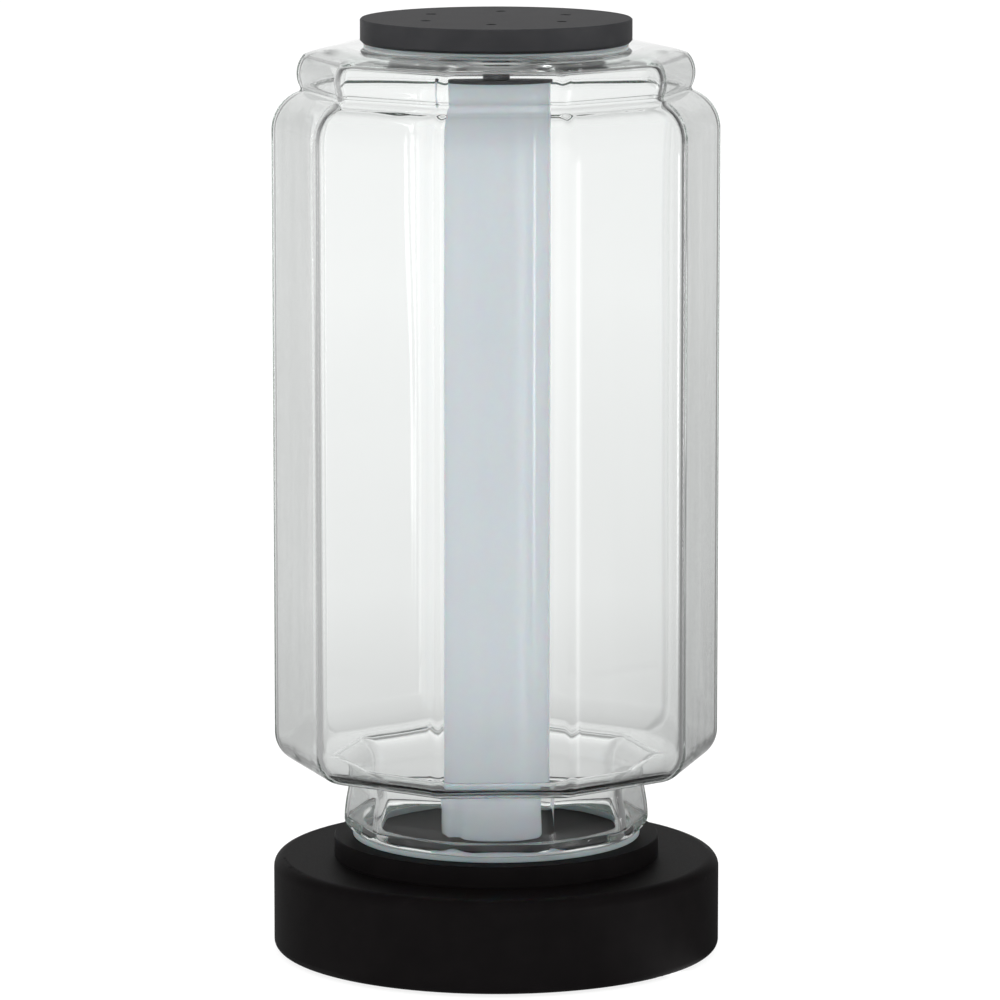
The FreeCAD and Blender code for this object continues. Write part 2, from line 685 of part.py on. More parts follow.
def band(stretch, lift):
    # one stretch of the outline carried round the ten sides and ten upright corners
    poles, weight = stretch
    half = math.pi / sideCount
    alongWeights = [1, weight, 1] if len(poles) == 3 else [1, 1]
    turnWeights = [1, math.cos(half), 1]

    def cornerPoles(index):
        middle = 2 * half * index
        rows = []
        for angle, stretchOut in ((middle - half, 1), (middle, 1 / math.cos(half)), (middle + half, 1)):
            row = []
            for reach, level, corner in poles:
                x = (reach - corner) * math.cos(middle) + corner * stretchOut * math.cos(angle)
                y = (reach - corner) * math.sin(middle) + corner * stretchOut * math.sin(angle)
                row.append(vector(x, y, level + lift))
            rows.append(row)
        return rows

    def patch(rows, rowWeights):
        surface = Part.BSplineSurface()
        weights = [[across * along for along in alongWeights] for across in rowWeights]
        surface.buildFromPolesMultsKnots(
            rows, [len(rows)] * 2, [len(poles)] * 2, [0, 1], [0, 1],
            False, False, len(rows) - 1, len(poles) - 1, weights,
        )
        return surface.toShape()

    faces = []
    for index in range(sideCount):
        here = cornerPoles(index)
        following = cornerPoles(index + 1)
        faces.append(patch(here, turnWeights))
        faces.append(patch([here[-1], following[0]], [1, 1]))
    return faces


def sectionWire(pole, lift):
    # the closed ten-sided section at one pole
    reach, level, corner = pole
    half = math.pi / sideCount
    edges = []
    ends = []
    for index in range(sideCount):
        middle = 2 * half * index
        places = []
        for angle in (middle - half, middle, middle + half):
            x = (reach - corner) * math.cos(middle) + corner * math.cos(angle)
            y = (reach - corner) * math.sin(middle) + corner * math.sin(angle)
            places.append(vector(x, y, level + lift))
        edges.append(Part.Arc(*places).toShape())
        ends.append((places[0], places[-1]))
    for index in range(sideCount):
        edges.insert(
            2 * index + 1,
            Part.LineSegment(ends[index][1], ends[(index + 1) % sideCount][0]).toShape(),
        )
    return Part.Wire(edges)


def flatRing(pole, lift, opening):
    # the level ring between a section and a round opening
    level = pole[1] + lift
    circle = Part.Wire(Part.makeCircle(opening, vector(0, 0, level)))
    return Part.makeFace([sectionWire(pole, lift), circle], "Part::FaceMakerBullseye").Faces


def openingWall(radius, low, high):
    return Part.makeCircle(radius, vector(0, 0, low)).extrude(vector(0, 0, high - low))


def makeGlass():
    lift = size(glassFoot)
    wall = size("Sizes.glassWall")
    extraCorner = size("Sizes.cornerRoundInside - Sizes.cornerRound")
    throat = size("Sizes.footRimRadius")
    mouth = size("Sizes.mouthRadius")
    outside = glassOutline()
    inside = [insideOf(stretch, wall, extraCorner) for stretch in outside[1:]]
    faces = []
    for stretch in outside + inside:
        faces += band(stretch, lift)
    footOutside = outside[0][0][0]
    footInside = inside[0][0][0]
    crownOutside = outside[-1][0][-1]
    crownInside = inside[-1][0][-1]
    rings = ((footOutside, throat), (footInside, throat), (crownOutside, mouth), (crownInside, mouth))
    for pole, opening in rings:
        faces += flatRing(pole, lift, opening)
    faces += openingWall(throat, footOutside[1] + lift, footInside[1] + lift).Faces
    faces += openingWall(mouth, crownInside[1] + lift, crownOutside[1] + lift).Faces
    sewn = Part.makeCompound(faces)
    sewn.sewShape(sewingTolerance)
    glass = Part.Solid(sewn.Shells[0])
    if glass.Volume < 0:
        glass.reverse()
    return keep(shapePiece("Glass", glass), "glass_shade")


# ---- stem and what it clamps


def makeStem():
    body = newBody("Stem")
    plainLow = f"({coreLow} + Sizes.stemThreadSpare)"
    plainTop = f"({spigotLow} - Sizes.stemThreadFree)"
    revolve(body, "Pipe", [
        ("Sizes.stemBore", stemLow),
        ("Sizes.stemThread", stemLow),
        ("Sizes.stemThread", plainLow),
        (stemPlain, plainLow),
        (stemPlain, plainTop),
        ("Sizes.stemThread", plainTop),
        ("Sizes.stemThread", stemTop),
        ("Sizes.stemBore", stemTop),
    ])
    return keep(body, "stem")


def makeStemNuts():
    nuts = []
    thread = "Sizes.stemThread + Sizes.threadGap"
    for index, low in enumerate((lowerNutLow, seatTop)):
        body = prism(f"NutBody{index}", "Sizes.nutFlats", "Sizes.nutHeight", low)
        hole = cylinder(f"NutHole{index}", thread, "Sizes.nutHeight", z=low)
        nuts.append(cut(f"Nut{index}", body, hole))
    return keep(group("StemNuts", nuts), "stem_nuts")


def makeTubeSeat():
    body = newBody("TubeSeat")
    revolve(body, "Seat", [
        (stemHole, collarTop),
        ("Sizes.tubeRadius", collarTop),
        ("Sizes.tubeRadius", tubeLow),
        (spigotFit, tubeLow),
        (spigotFit, seatTop),
        (stemHole, seatTop),
    ])
    sketch = newSketch(body, "SeatLeadOutline", "XY_Plane", collarTop)
    drawCircle(sketch, leadX, "0", "Sizes.leadHoleRadius")
    extrude(body, "Pocket", "SeatLeadHole", sketch, f"{seatTop} - {collarTop}", True)
    return keep(body, "tube_seat")


def makeEndCap():
    body = newBody("EndCap")
    hole = f"({stemPlain} + Sizes.stemHoleGap)"
    hollow = f"({spigotFit} - Sizes.endCapWall)"
    rimRadius = "(Sizes.tubeRadius + Sizes.endCapProud)"
    revolve(body, "End", [
        (hole, tubeTop),
        (hollow, tubeTop),
        (hollow, f"{tubeTop} - Sizes.endCapSpigot"),
        (spigotFit, f"{tubeTop} - Sizes.endCapSpigot"),
        (spigotFit, tubeTop),
        (rimRadius, tubeTop),
        (rimRadius, endCapTop),
        (hole, endCapTop),
    ])
    return keep(body, "tube_end_cap")


# ---- light source


def makeCore():
    length = f"{coreTop} - {coreLow}"
    bar = prism("CoreBar", "Sizes.coreFlats", length, coreLow, stripCount)
    bar.Placement.Rotation = FreeCAD.Rotation(vector(0, 0, 1), 180 / stripCount)
    tools = [cylinder("CoreBore", f"{stemPlain} + Sizes.coreBoreGap", length, z=coreLow)]
    reach = f"Sizes.coreFlats / 2 / cos({180 / stripCount})"
    for index in range(stripCount):
        angle = 360 / stripCount * (index + 0.5)
        x = f"{reach} * cos({angle})"
        y = f"{reach} * sin({angle})"
        tools.append(cylinder(f"CoreGroove{index}", "Sizes.coreGrooveRadius", length, x, y, coreLow))
    return keep(cut("Core", bar, fuse("CoreTools", tools)), "led_core")


def onCoreSides(name, makeOne):
    # makes the same boxes against each side of the six-sided core
    copies = []
    for index in range(stripCount):
        angle = 360 / stripCount * index
        for thing in makeOne(f"{name}{index}"):
            about = FreeCAD.Rotation(vector(0, 0, 1), angle)
            start = thing.Placement.Base
            thing.Placement = FreeCAD.Placement(about.multVec(start), about)
            copies.append(thing)
    return copies


def sideBox(name, depth, width, height, inner, low):
    # a box whose inner face lies at a distance from the axis, centred across the side
    thing = doc.addObject("Part::Box", name)
    bind(thing, Length=depth, Width=width, Height=height)
    thing.Placement.Base = vector(size(inner), -size(width) / 2, size(low))
    return thing


def makeStrips():
    side = "Sizes.coreFlats / 2"

    def makeOne(name):
        return [sideBox(name, "Sizes.stripThickness", "Sizes.stripWidth", stripLength, side, stripLow)]

    return keep(group("Strips", onCoreSides("Strip", makeOne)), "led_strips")


def makeChips():
    span = f"({stripLength} - 2 * Sizes.chipMargin - Sizes.chipHeight)"

    def makeOne(name):
        chips = []
        for index in range(chipsPerStrip):
            low = f"{stripLow} + Sizes.chipMargin + {span} * {index / (chipsPerStrip - 1)}"
            chip = sideBox(
                f"{name}n{index}", "Sizes.chipThickness", "Sizes.chipLength", "Sizes.chipHeight",
                stripFace, low,
            )
            chips.append(chip)
        return chips

    return keep(group("Chips", onCoreSides("Chip", makeOne)), "led_chips")


# ---- driver, terminal block and earth on the bottom plate


def driverScrewPlaces():
    reach = "(Sizes.driverLength / 2 + Sizes.earLength / 2)"
    return [("Sizes.driverX", f"-{reach}"), ("Sizes.driverX", reach)]


def driverBlock(name, height, low):
    # a block with the driver's outline and rounded upright edges
    block = box(
        name + "Box", "Sizes.driverWidth", "Sizes.driverLength", height,
        "Sizes.driverX - Sizes.driverWidth / 2", "-Sizes.driverLength / 2", low,
    )
    doc.recompute()
    rounded = doc.addObject("Part::Fillet", name)
    rounded.Base = block
    radius = size("Sizes.driverRound")
    edges = []
    for index, edge in enumerate(block.Shape.Edges, start=1):
        if edge.BoundBox.ZLength > edge.BoundBox.XLength + edge.BoundBox.YLength:
            edges.append((index, radius, radius))
    rounded.Edges = edges
    return rounded


def makeDriverCase():
    parts = [driverBlock("DriverBlock", "Sizes.driverHeight", plateTop)]
    holes = []
    for index, (x, y) in enumerate(driverScrewPlaces()):
        parts.append(box(
            f"DriverEar{index}", "Sizes.earWidth", "Sizes.earLength", "Sizes.earHeight",
            "Sizes.driverX - Sizes.earWidth / 2", f"{y} - Sizes.earLength / 2", plateTop,
        ))
        holes.append(cylinder(f"EarHole{index}", screwHole, "Sizes.earHeight", x, y, plateTop))
    return keep(cut("DriverCase", fuse("DriverWithEars", parts), fuse("EarHoles", holes)), "driver_case")


def makeDriverLid():
    lid = driverBlock("DriverLid", "Sizes.driverLid", f"{plateTop} + Sizes.driverHeight")
    return keep(lid, "driver_lid")


def panScrew(name, x, y, seat, length):
    head = cylinder(name + "Head", "Sizes.panHead", "Sizes.panHeadHeight", x, y, seat)
    shank = cylinder(name + "Shank", "Sizes.plateScrewRadius", length, x, y, f"{seat} - ({length})")
    return fuse(name, [head, shank])


def makeDriverScrews():
    seat = f"({plateTop} + Sizes.earHeight)"
    length = "Sizes.earHeight + Sizes.plateThickness"
    screws = []
    for index, (x, y) in enumerate(driverScrewPlaces()):
        screws.append(panScrew(f"DriverScrew{index}", x, y, seat, length))
    return keep(group("DriverScrews", screws), "driver_screws")


def polePlaces():
    # middle of each pole, front to back
    return [f"({blockFront} + {index + 0.5} * Sizes.polePitch)" for index in range(poleCount)]


def turretPlaces():
    inset = "Sizes.turretRadius + Sizes.turretInset"
    places = []
    for y in polePlaces():
        places.append((f"(Sizes.blockX + {inset})", y))
        places.append((f"(Sizes.blockX + Sizes.blockWidth - ({inset}))", y))
    return places


def makeTerminalBlock():
    length = f"{poleCount} * Sizes.polePitch"
    parts = [box(
        "BlockBox", "Sizes.blockWidth", length, "Sizes.blockHeight",
        "Sizes.blockX", blockFront, plateTop,
    )]
    holes = []
    top = f"({plateTop} + Sizes.blockHeight)"
    for index, (x, y) in enumerate(turretPlaces()):
        parts.append(cylinder(f"Turret{index}", "Sizes.turretRadius", "Sizes.turretHeight", x, y, top))
        holes.append(cylinder(
            f"TurretHole{index}", "Sizes.clampScrewRadius + Sizes.screwGap",
            "Sizes.turretHeight + Sizes.clampScrewDepth", x, y, f"{top} - Sizes.clampScrewDepth",
        ))
    block = fuse("BlockWithTurrets", parts)
    return keep(cut("TerminalBlock", block, fuse("TurretHoles", holes)), "terminal_block")


def makeClampScrews():
    screws = []
    radius = "Sizes.clampScrewRadius"
    low = f"({plateTop} + Sizes.blockHeight - Sizes.clampScrewDepth)"
    for index, (x, y) in enumerate(turretPlaces()):
        screws.append(cylinder(f"ClampScrew{index}", radius, "Sizes.turretHeight", x, y, low))
    return keep(group("ClampScrews", screws), "terminal_screws")


def makeEarthTag():
    x = "Sizes.earthX"
    thickness = "Sizes.earthTagThickness"
    ring = cylinder("TagRing", "Sizes.earthTagRadius", thickness, x, earthY, plateTop)
    tongue = box(
        "TagTongue", "Sizes.earthTagWidth", "Sizes.earthTagLength", thickness,
        f"{x} - Sizes.earthTagWidth / 2", earthY, plateTop,
    )
    hole = cylinder("TagHole", screwHole, thickness, x, earthY, plateTop)
    return keep(cut("EarthTag", fuse("TagBody", [ring, tongue]), hole), "earth_tag")


def makeEarthScrew():
    seat = f"({plateTop} + Sizes.earthTagThickness)"
    length = "Sizes.earthTagThickness + Sizes.plateThickness"
    return keep(panScrew("EarthScrew", "Sizes.earthX", earthY, seat, length), "earth_screw")


# ---- leads


def leadWire(points):
    # straight runs joined by tangent arcs, each arc as large as its shorter run allows
    edges = []
    start = points[0]
    for index in range(1, len(points) - 1):
        before = points[index - 1] - points[index]
        after = points[index + 1] - points[index]
        shorter = min(before.Length, after.Length)
        turn = math.pi - before.getAngle(after)
        setBack = bendShare * shorter
        radius = setBack / math.tan(turn / 2)
        print(f"  turn {math.degrees(turn):.0f} degrees, radius {radius:.1f} mm")
        arcStart = points[index] + vector(before).normalize() * setBack
        arcEnd = points[index] + vector(after).normalize() * setBack
        inward = (vector(before).normalize() + vector(after).normalize()).normalize()
        toCentre = math.hypot(radius, setBack)
        arcMiddle = points[index] + inward * (toCentre - radius)
        edges.append(Part.LineSegment(start, arcStart).toShape())
        edges.append(Part.Arc(arcStart, arcMiddle, arcEnd).toShape())
        start = arcEnd
    edges.append(Part.LineSegment(start, points[-1]).toShape())
    return Part.Wire(edges)


def makeLead(name, label, radius, route):
    points = [vector(size(x), size(y), size(z)) for x, y, z in route]
    print(label)
    path = leadWire(points)
    direction = points[1] - points[0]
    section = Part.Wire(Part.makeCircle(size(radius), points[0], direction))
    lead = path.makePipeShell([section], True, False)
    expected = math.pi * size(radius) ** 2 * path.Length
    print(f"  length {path.Length:.1f} mm, volume {lead.Volume / expected:.4f} of section times length")
    return keep(shapePiece(name, lead), label)


def makeLightLeads():
    front = "-Sizes.driverLength / 2"
    outlet = "Sizes.driverX + Sizes.leadOutlet"
    padTop = f"{stripLow} + Sizes.leadPad"
    low = f"({screwTop} + Sizes.leadLow + Sizes.leadRadius)"
    for name, label, side, level in (
        ("LeadPlus", "led_lead_positive", "-Sizes.leadSpread", f"({low} + Sizes.leadStep)"),
        ("LeadMinus", "led_lead_negative", "Sizes.leadSpread", low),
    ):
        makeLead(name, label, "Sizes.leadRadius", [
            (outlet, front, level),
            (outlet, f"{front} - Sizes.leadRun", level),
            (leadX, "-Sizes.leadCorner", level),
            (leadX, side, level),
            (leadX, side, padTop),
        ])


def makeMainsLeads():
    back = "Sizes.driverLength / 2"
    outlet = "Sizes.driverX + Sizes.leadOutlet"
    low = f"({screwTop} + Sizes.mainsLow + Sizes.mainsLeadRadius)"
    poles = polePlaces()
    for name, label, pole, bend, level in (
        ("LeadLive", "mains_lead_live", poles[2], "Sizes.liveBend", f"({low} + Sizes.mainsStep)"),
        ("LeadNeutral", "mains_lead_neutral", poles[1], "Sizes.neutralBend", low),
    ):
        makeLead(name, label, "Sizes.mainsLeadRadius", [
            ("Sizes.blockX", pole, level),
            ("Sizes.blockX - Sizes.mainsRun", pole, level),
            (outlet, f"{back} + {bend}", level),
            (outlet, back, level),
        ])


def makeEarthLead():
    tagTop = f"({plateTop} + Sizes.earthTagThickness + Sizes.mainsLeadRadius + Sizes.leadGap)"
    tagEnd = f"{earthY} + Sizes.earthTagLength"
    level = f"({plateTop} + Sizes.earthLeadRise)"
    pole = polePlaces()[0]
    makeLead("LeadEarth", "earth_lead", "Sizes.mainsLeadRadius", [
        ("Sizes.blockX", pole, level),
        ("Sizes.earthX + Sizes.earthLeadBend", pole, level),
        ("Sizes.earthX", f"{tagEnd} + Sizes.earthLeadDrop", tagTop),
        ("Sizes.earthX", f"{tagEnd} - Sizes.earthLeadPad", tagTop),
    ])


# ---- the whole lamp

makeBaseShell()
makeBasePlate()
makePlateScrews()
makeFootPads()
makeGrommet()
makeCollar()
makeLowerGasket()
makeGlass()
makeUpperGasket()
makeCap()
makeStem()
makeStemNuts()
makeRing("Washer", "stem_washer", stemHole, "Sizes.washerRadius", washerLow, roofLow)
makeTubeSeat()
makeRing("Diffuser", "diffuser_tube", tubeBore, "Sizes.tubeRadius", tubeLow, tubeTop)
makeEndCap()
makeCore()
makeStrips()
makeChips()
makeDriverCase()
makeDriverLid()
makeDriverScrews()
makeTerminalBlock()
makeClampScrews()
makeEarthTag()
makeEarthScrew()
makeLightLeads()
makeMainsLeads()
makeEarthLead()
doc.recompute()

for thing in doc.Objects:
    if "Invalid" in thing.State or "Error" in thing.State:
        raise RuntimeError(f"{thing.Name} failed: {thing.State}")
for piece in pieces:
    if piece.Shape.isNull() or not piece.Shape.isValid():
        raise RuntimeError(f"{piece.Label} has no valid shape")

os.makedirs("parts", exist_ok=True)
for piece in pieces:
    piece.Shape.exportStep(os.path.join("parts", piece.Label + ".step"))
    print(f"{piece.Label}: {len(piece.Shape.Solids)} solids, {piece.Shape.Volume:.0f} mm3")
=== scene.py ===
import bmesh
import bpy
import math
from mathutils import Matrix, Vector, noise


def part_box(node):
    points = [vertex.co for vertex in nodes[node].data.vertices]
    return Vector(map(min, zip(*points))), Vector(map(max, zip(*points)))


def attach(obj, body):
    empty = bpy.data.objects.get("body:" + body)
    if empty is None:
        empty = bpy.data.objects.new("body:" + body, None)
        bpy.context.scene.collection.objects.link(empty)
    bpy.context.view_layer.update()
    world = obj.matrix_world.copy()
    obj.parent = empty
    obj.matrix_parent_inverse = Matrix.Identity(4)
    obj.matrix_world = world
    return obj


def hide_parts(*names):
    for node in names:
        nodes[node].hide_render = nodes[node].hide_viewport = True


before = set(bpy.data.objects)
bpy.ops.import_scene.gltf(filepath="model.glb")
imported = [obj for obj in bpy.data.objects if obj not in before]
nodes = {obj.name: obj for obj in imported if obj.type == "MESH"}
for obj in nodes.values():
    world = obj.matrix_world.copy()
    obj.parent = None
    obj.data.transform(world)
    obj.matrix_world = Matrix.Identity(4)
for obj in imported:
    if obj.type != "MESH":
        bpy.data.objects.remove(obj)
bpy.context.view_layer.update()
mm = 0.001
print("frame loaded:", len(nodes), "nodes")


def level(node, top=True):
    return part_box(node)[1 if top else 0].z


def reach(node):
    # how far a round node stands out from the lamp's axis
    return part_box(node)[1].x


def clamped(value):
    return min(1, max(0, value))


# what the shader nodes of all finishes share

grains = {
    "middle": (0.3, 0.7),  # where most values of a noise texture lie
    "fineDetail": 4,
    "cloudDetail": 2,
    "cloudWidth": 25,  # of the slow clouds, against the fine grain
    "strength": 0.6,  # of the bump
}


def newMaterial(name):
    material = bpy.data.materials.new(name)
    material.use_nodes = True
    tree = material.node_tree
    return material, tree.nodes, tree.links, tree.nodes["Principled BSDF"]


def setSockets(shader, values):
    for name, value in values.items():
        shader.inputs[name].default_value = (*value, 1) if isinstance(value, tuple) else value


def addNoise(nodeSet, linkSet, scale, detail, stretch=None):
    # noise in the object's own space; stretch squeezes it along the axes
    coords = nodeSet.new("ShaderNodeTexCoord")
    texture = nodeSet.new("ShaderNodeTexNoise")
    texture.inputs["Scale"].default_value = scale
    texture.inputs["Detail"].default_value = detail
    if stretch:
        mapping = nodeSet.new("ShaderNodeMapping")
        mapping.inputs["Scale"].default_value = stretch
        linkSet.new(coords.outputs["Object"], mapping.inputs["Vector"])
        linkSet.new(mapping.outputs["Vector"], texture.inputs["Vector"])
    else:
        linkSet.new(coords.outputs["Object"], texture.inputs["Vector"])
    return texture


def addSpan(nodeSet, linkSet, source, fromLow, fromHigh, low, high):
    span = nodeSet.new("ShaderNodeMapRange")
    for name, value in zip(("From Min", "From Max", "To Min", "To Max"), (fromLow, fromHigh, low, high)):
        span.inputs[name].default_value = value
    linkSet.new(source, span.inputs["Value"])
    return span.outputs["Result"]


def addNoiseSpan(nodeSet, linkSet, texture, low, high):
    return addSpan(nodeSet, linkSet, texture.outputs["Fac"], *grains["middle"], low, high)


def addTint(nodeSet, linkSet, texture, dark, light):
    mix = nodeSet.new("ShaderNodeMix")
    mix.data_type = "RGBA"
    mix.inputs["A"].default_value = (*dark, 1)
    mix.inputs["B"].default_value = (*light, 1)
    linkSet.new(addNoiseSpan(nodeSet, linkSet, texture, 0, 1), mix.inputs["Factor"])
    return mix.outputs["Result"]


def addBump(nodeSet, linkSet, shader, texture, height):
    bump = nodeSet.new("ShaderNodeBump")
    bump.inputs["Distance"].default_value = height
    bump.inputs["Strength"].default_value = grains["strength"]
    linkSet.new(texture.outputs["Fac"], bump.inputs["Height"])
    linkSet.new(bump.outputs["Normal"], shader.inputs["Normal"])


def grainedFinish(name, dark, light, roughness, grain, height, stretch=None, **values):
    # a finish with a fine grain: it shifts the colour and the roughness and raises the surface
    material, nodeSet, linkSet, shader = newMaterial(name)
    fine = addNoise(nodeSet, linkSet, grain, grains["fineDetail"], stretch)
    cloud = addNoise(nodeSet, linkSet, grain / grains["cloudWidth"], grains["cloudDetail"])
    linkSet.new(addTint(nodeSet, linkSet, cloud, dark, light), shader.inputs["Base Color"])
    linkSet.new(addNoiseSpan(nodeSet, linkSet, fine, *roughness), shader.inputs["Roughness"])
    addBump(nodeSet, linkSet, shader, fine, height)
    setSockets(shader, values)
    return material


def satinLacquer(name, look):
    return grainedFinish(
        name, look["dark"], look["light"], look["roughness"], look["grain"], look["grainHeight"],
        **{"Specular IOR Level": look["specular"]},
    )


# what the meshes share

turning = {
    "sides": 160,  # of a turned piece
    "sharp": 35,  # degrees between faces that keep a sharp edge
    "merge": 1e-6,
}


def addMesh(name, points, faces, material, sharp=turning["sharp"]):
    mesh = bpy.data.meshes.new(name)
    mesh.from_pydata(points, [], faces)
    mesh.validate()
    cleaner = bmesh.new()
    cleaner.from_mesh(mesh)
    bmesh.ops.remove_doubles(cleaner, verts=cleaner.verts, dist=turning["merge"])
    bmesh.ops.recalc_face_normals(cleaner, faces=cleaner.faces)
    cleaner.to_mesh(mesh)
    cleaner.free()
    mesh.shade_smooth()
    mesh.set_sharp_from_angle(angle=math.radians(sharp))
    piece = bpy.data.objects.new(name, mesh)
    bpy.context.scene.collection.objects.link(piece)
    mesh.materials.append(material)
    return piece


def roundCorners(corners, steps):
    # corners are (radius, level, round); each round becomes an arc tangent to its two runs
    outline = []
    count = len(corners)
    for index, (x, z, size) in enumerate(corners):
        here = Vector((x, z))
        if size == 0:
            outline.append(here)
            continue
        before = (Vector(corners[index - 1][:2]) - here).normalized()
        after = (Vector(corners[(index + 1) % count][:2]) - here).normalized()
        half = before.angle(after) / 2
        start = here + before * size / math.tan(half)
        centre = here + (before + after).normalized() * size / math.sin(half)
        sweep = math.pi - 2 * half
        side = 1 if before.x * after.y - before.y * after.x < 0 else -1
        spoke = start - centre
        for step in range(steps + 1):
            turn = side * sweep * step / steps
            outline.append(centre + Vector((
                spoke.x * math.cos(turn) - spoke.y * math.sin(turn),
                spoke.x * math.sin(turn) + spoke.y * math.cos(turn),
            )))
    return outline


def turnPiece(name, corners, material, steps):
    # a closed outline turned about the lamp's axis
    outline = roundCorners(corners, steps)
    points = []
    faces = []
    rows = len(outline)
    sides = turning["sides"]
    for side in range(sides):
        angle = 2 * math.pi * side / sides
        points += [(p.x * math.cos(angle), p.x * math.sin(angle), p.y) for p in outline]
        here = side * rows
        beside = (side + 1) % sides * rows
        for row in range(rows):
            above = (row + 1) % rows
            faces.append((here + row, beside + row, beside + above, here + above))
    return addMesh(name, points, faces, material)


def place(piece, body, node):
    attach(piece, body)
    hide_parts(node)


# base and collar

base = {
    "dark": (0.0032, 0.0025, 0.0027),
    "light": (0.0042, 0.0033, 0.0035),
    "roughness": (0.50, 0.58),
    "grain": 2600,
    "grainHeight": 0.02 * mm,
    "specular": 0.07,
}

blackLacquer = satinLacquer("blackLacquer", base)
nodes["base_shell"].data.materials[0] = blackLacquer
nodes["collar"].data.materials[0] = blackLacquer
print("base dressed")


# glass jar, in millimetres until its points are made

jar = {
    "sides": 10,
    "wall": 2.8,
    "cornerRound": 6.0,
    "cornerRoundInside": 9.0,
    "footRoundInside": 0.8,
    "floorRoundInside": 9.7,
    "footRimRadius": 51.0,
    "footLandRadius": 55.5,
    "footRound": 4.2,
    "footCornerRound": 16.0,
    "footCornerStart": 1.0,  # the corner's round starts this far inside the foot's land
    "neckTaper": 1.9,
    "neckBend": 9.5,
    "neckRise": 18.0,
    "neckCornerRound": 8.0,
    "bodyRadius": 86.9,
    "bodyFloorRise": 8.4,
    "bodyFloorRound": 12.5,
    "shoulderRound": 16.0,
    "shoulderDrop": 32.5,
    "grooveRound": 1.2,
    "beadRound": 11.0,
    "beadInset": 20.8,
    "beadDrop": 10.5,
    "beadEnd": 40.0,  # degrees
    "crownRadius": 57.0,
    "crownFlatRound": 48.45,
    "crownCornerRound": 15.0,
    "crownFullness": 0.5,
    "mouthRadius": 42.0,
    "height": 307.9,
    "columns": 24,  # of the mesh, from a corner to the middle of a flat
    "sharp": 40,  # degrees
    "evenings": 4,  # times that the crown's inside is averaged with its neighbours
    "colour": (0.975, 0.985, 0.980),
    "refraction": 1.48,
    "tint": (0.80, 0.86, 0.83),
    "density": 5.0,  # of the tint, per metre of glass
}

# rings of the mesh along each stretch of the outline
jarSteps = {
    "heel": 6,
    "foot": 14,
    "neck": 8,
    "fillet": 10,
    "floor": 3,
    "floorEdge": 14,
    "wall": 44,
    "shoulder": 14,
    "groove": 8,
    "bead": 16,
    "crown": 10,
}

# the slow unevenness of blown glass: heights of the waves in mm, and how fast they change per mm
waves = {
    "inside": 0.10,
    "outside": 0.025,
    "seedInside": 11.0,
    "seedOutside": 3.0,
    "across": 0.045,
    "along": 0.012,
    "streakAcross": 0.16,
    "streakAlong": 0.010,
    "streakShare": 0.35,
    "foot": (12, 20),  # the waves begin here, and have their height this much further up
    "crown": (6, 12),  # the same down from the top
}

# small ripples on the inside, in the neck and over the floor
ripples = {
    "inside": 0.03,
    "outside": 0.0,
    "across": 0.06,
    "along": 0.11,
    "foot": (5, 4),
    "top": (45.0, 20),  # the ripples end here, and begin to fade this much further down
}


def arcPoles(centre, radius, start, end, corners):
    # three poles and the middle weight of an arc between two angles in degrees
    weight = math.cos(math.radians(end - start) / 2)
    poles = []
    for angle, stretch, corner in zip((start, (start + end) / 2, end), (1, 1 / weight, 1), corners):
        x = centre[0] + radius * stretch * math.cos(math.radians(angle))
        z = centre[1] + radius * stretch * math.sin(math.radians(angle))
        poles.append((x, z, corner))
    return poles, weight


def straight(start, end):
    return [start, end], 1


def footStretches():
    # from the foot's land up the neck and out to the run of the body's floor
    corner = jar["cornerRound"]
    neckCorner = jar["neckCornerRound"]
    footRound = jar["footRound"]
    swell = jar["footLandRadius"] + footRound
    neck = (swell - jar["neckTaper"], jar["neckRise"])
    lean = math.atan2(jar["neckTaper"], neck[1] - jar["neckBend"])
    floor = neck[1] + jar["bodyFloorRise"]
    footCorners = (jar["footLandRadius"] - jar["footCornerStart"], jar["footCornerRound"], neckCorner)
    foot = arcPoles((jar["footLandRadius"], footRound), footRound, -90, 0, footCorners)
    neckPoles = [
        (swell, footRound, neckCorner),
        (swell, jar["neckBend"], neckCorner),
        (*neck, neckCorner),
    ]
    runOut = jar["bodyFloorRise"] / (1 + math.sin(lean))
    runOutCentre = (neck[0] + runOut * math.cos(lean), floor - runOut)
    fillet = arcPoles(runOutCentre, -runOut, math.degrees(lean), -90, (neckCorner, corner, corner))
    return foot, (neckPoles, 1), fillet, floor


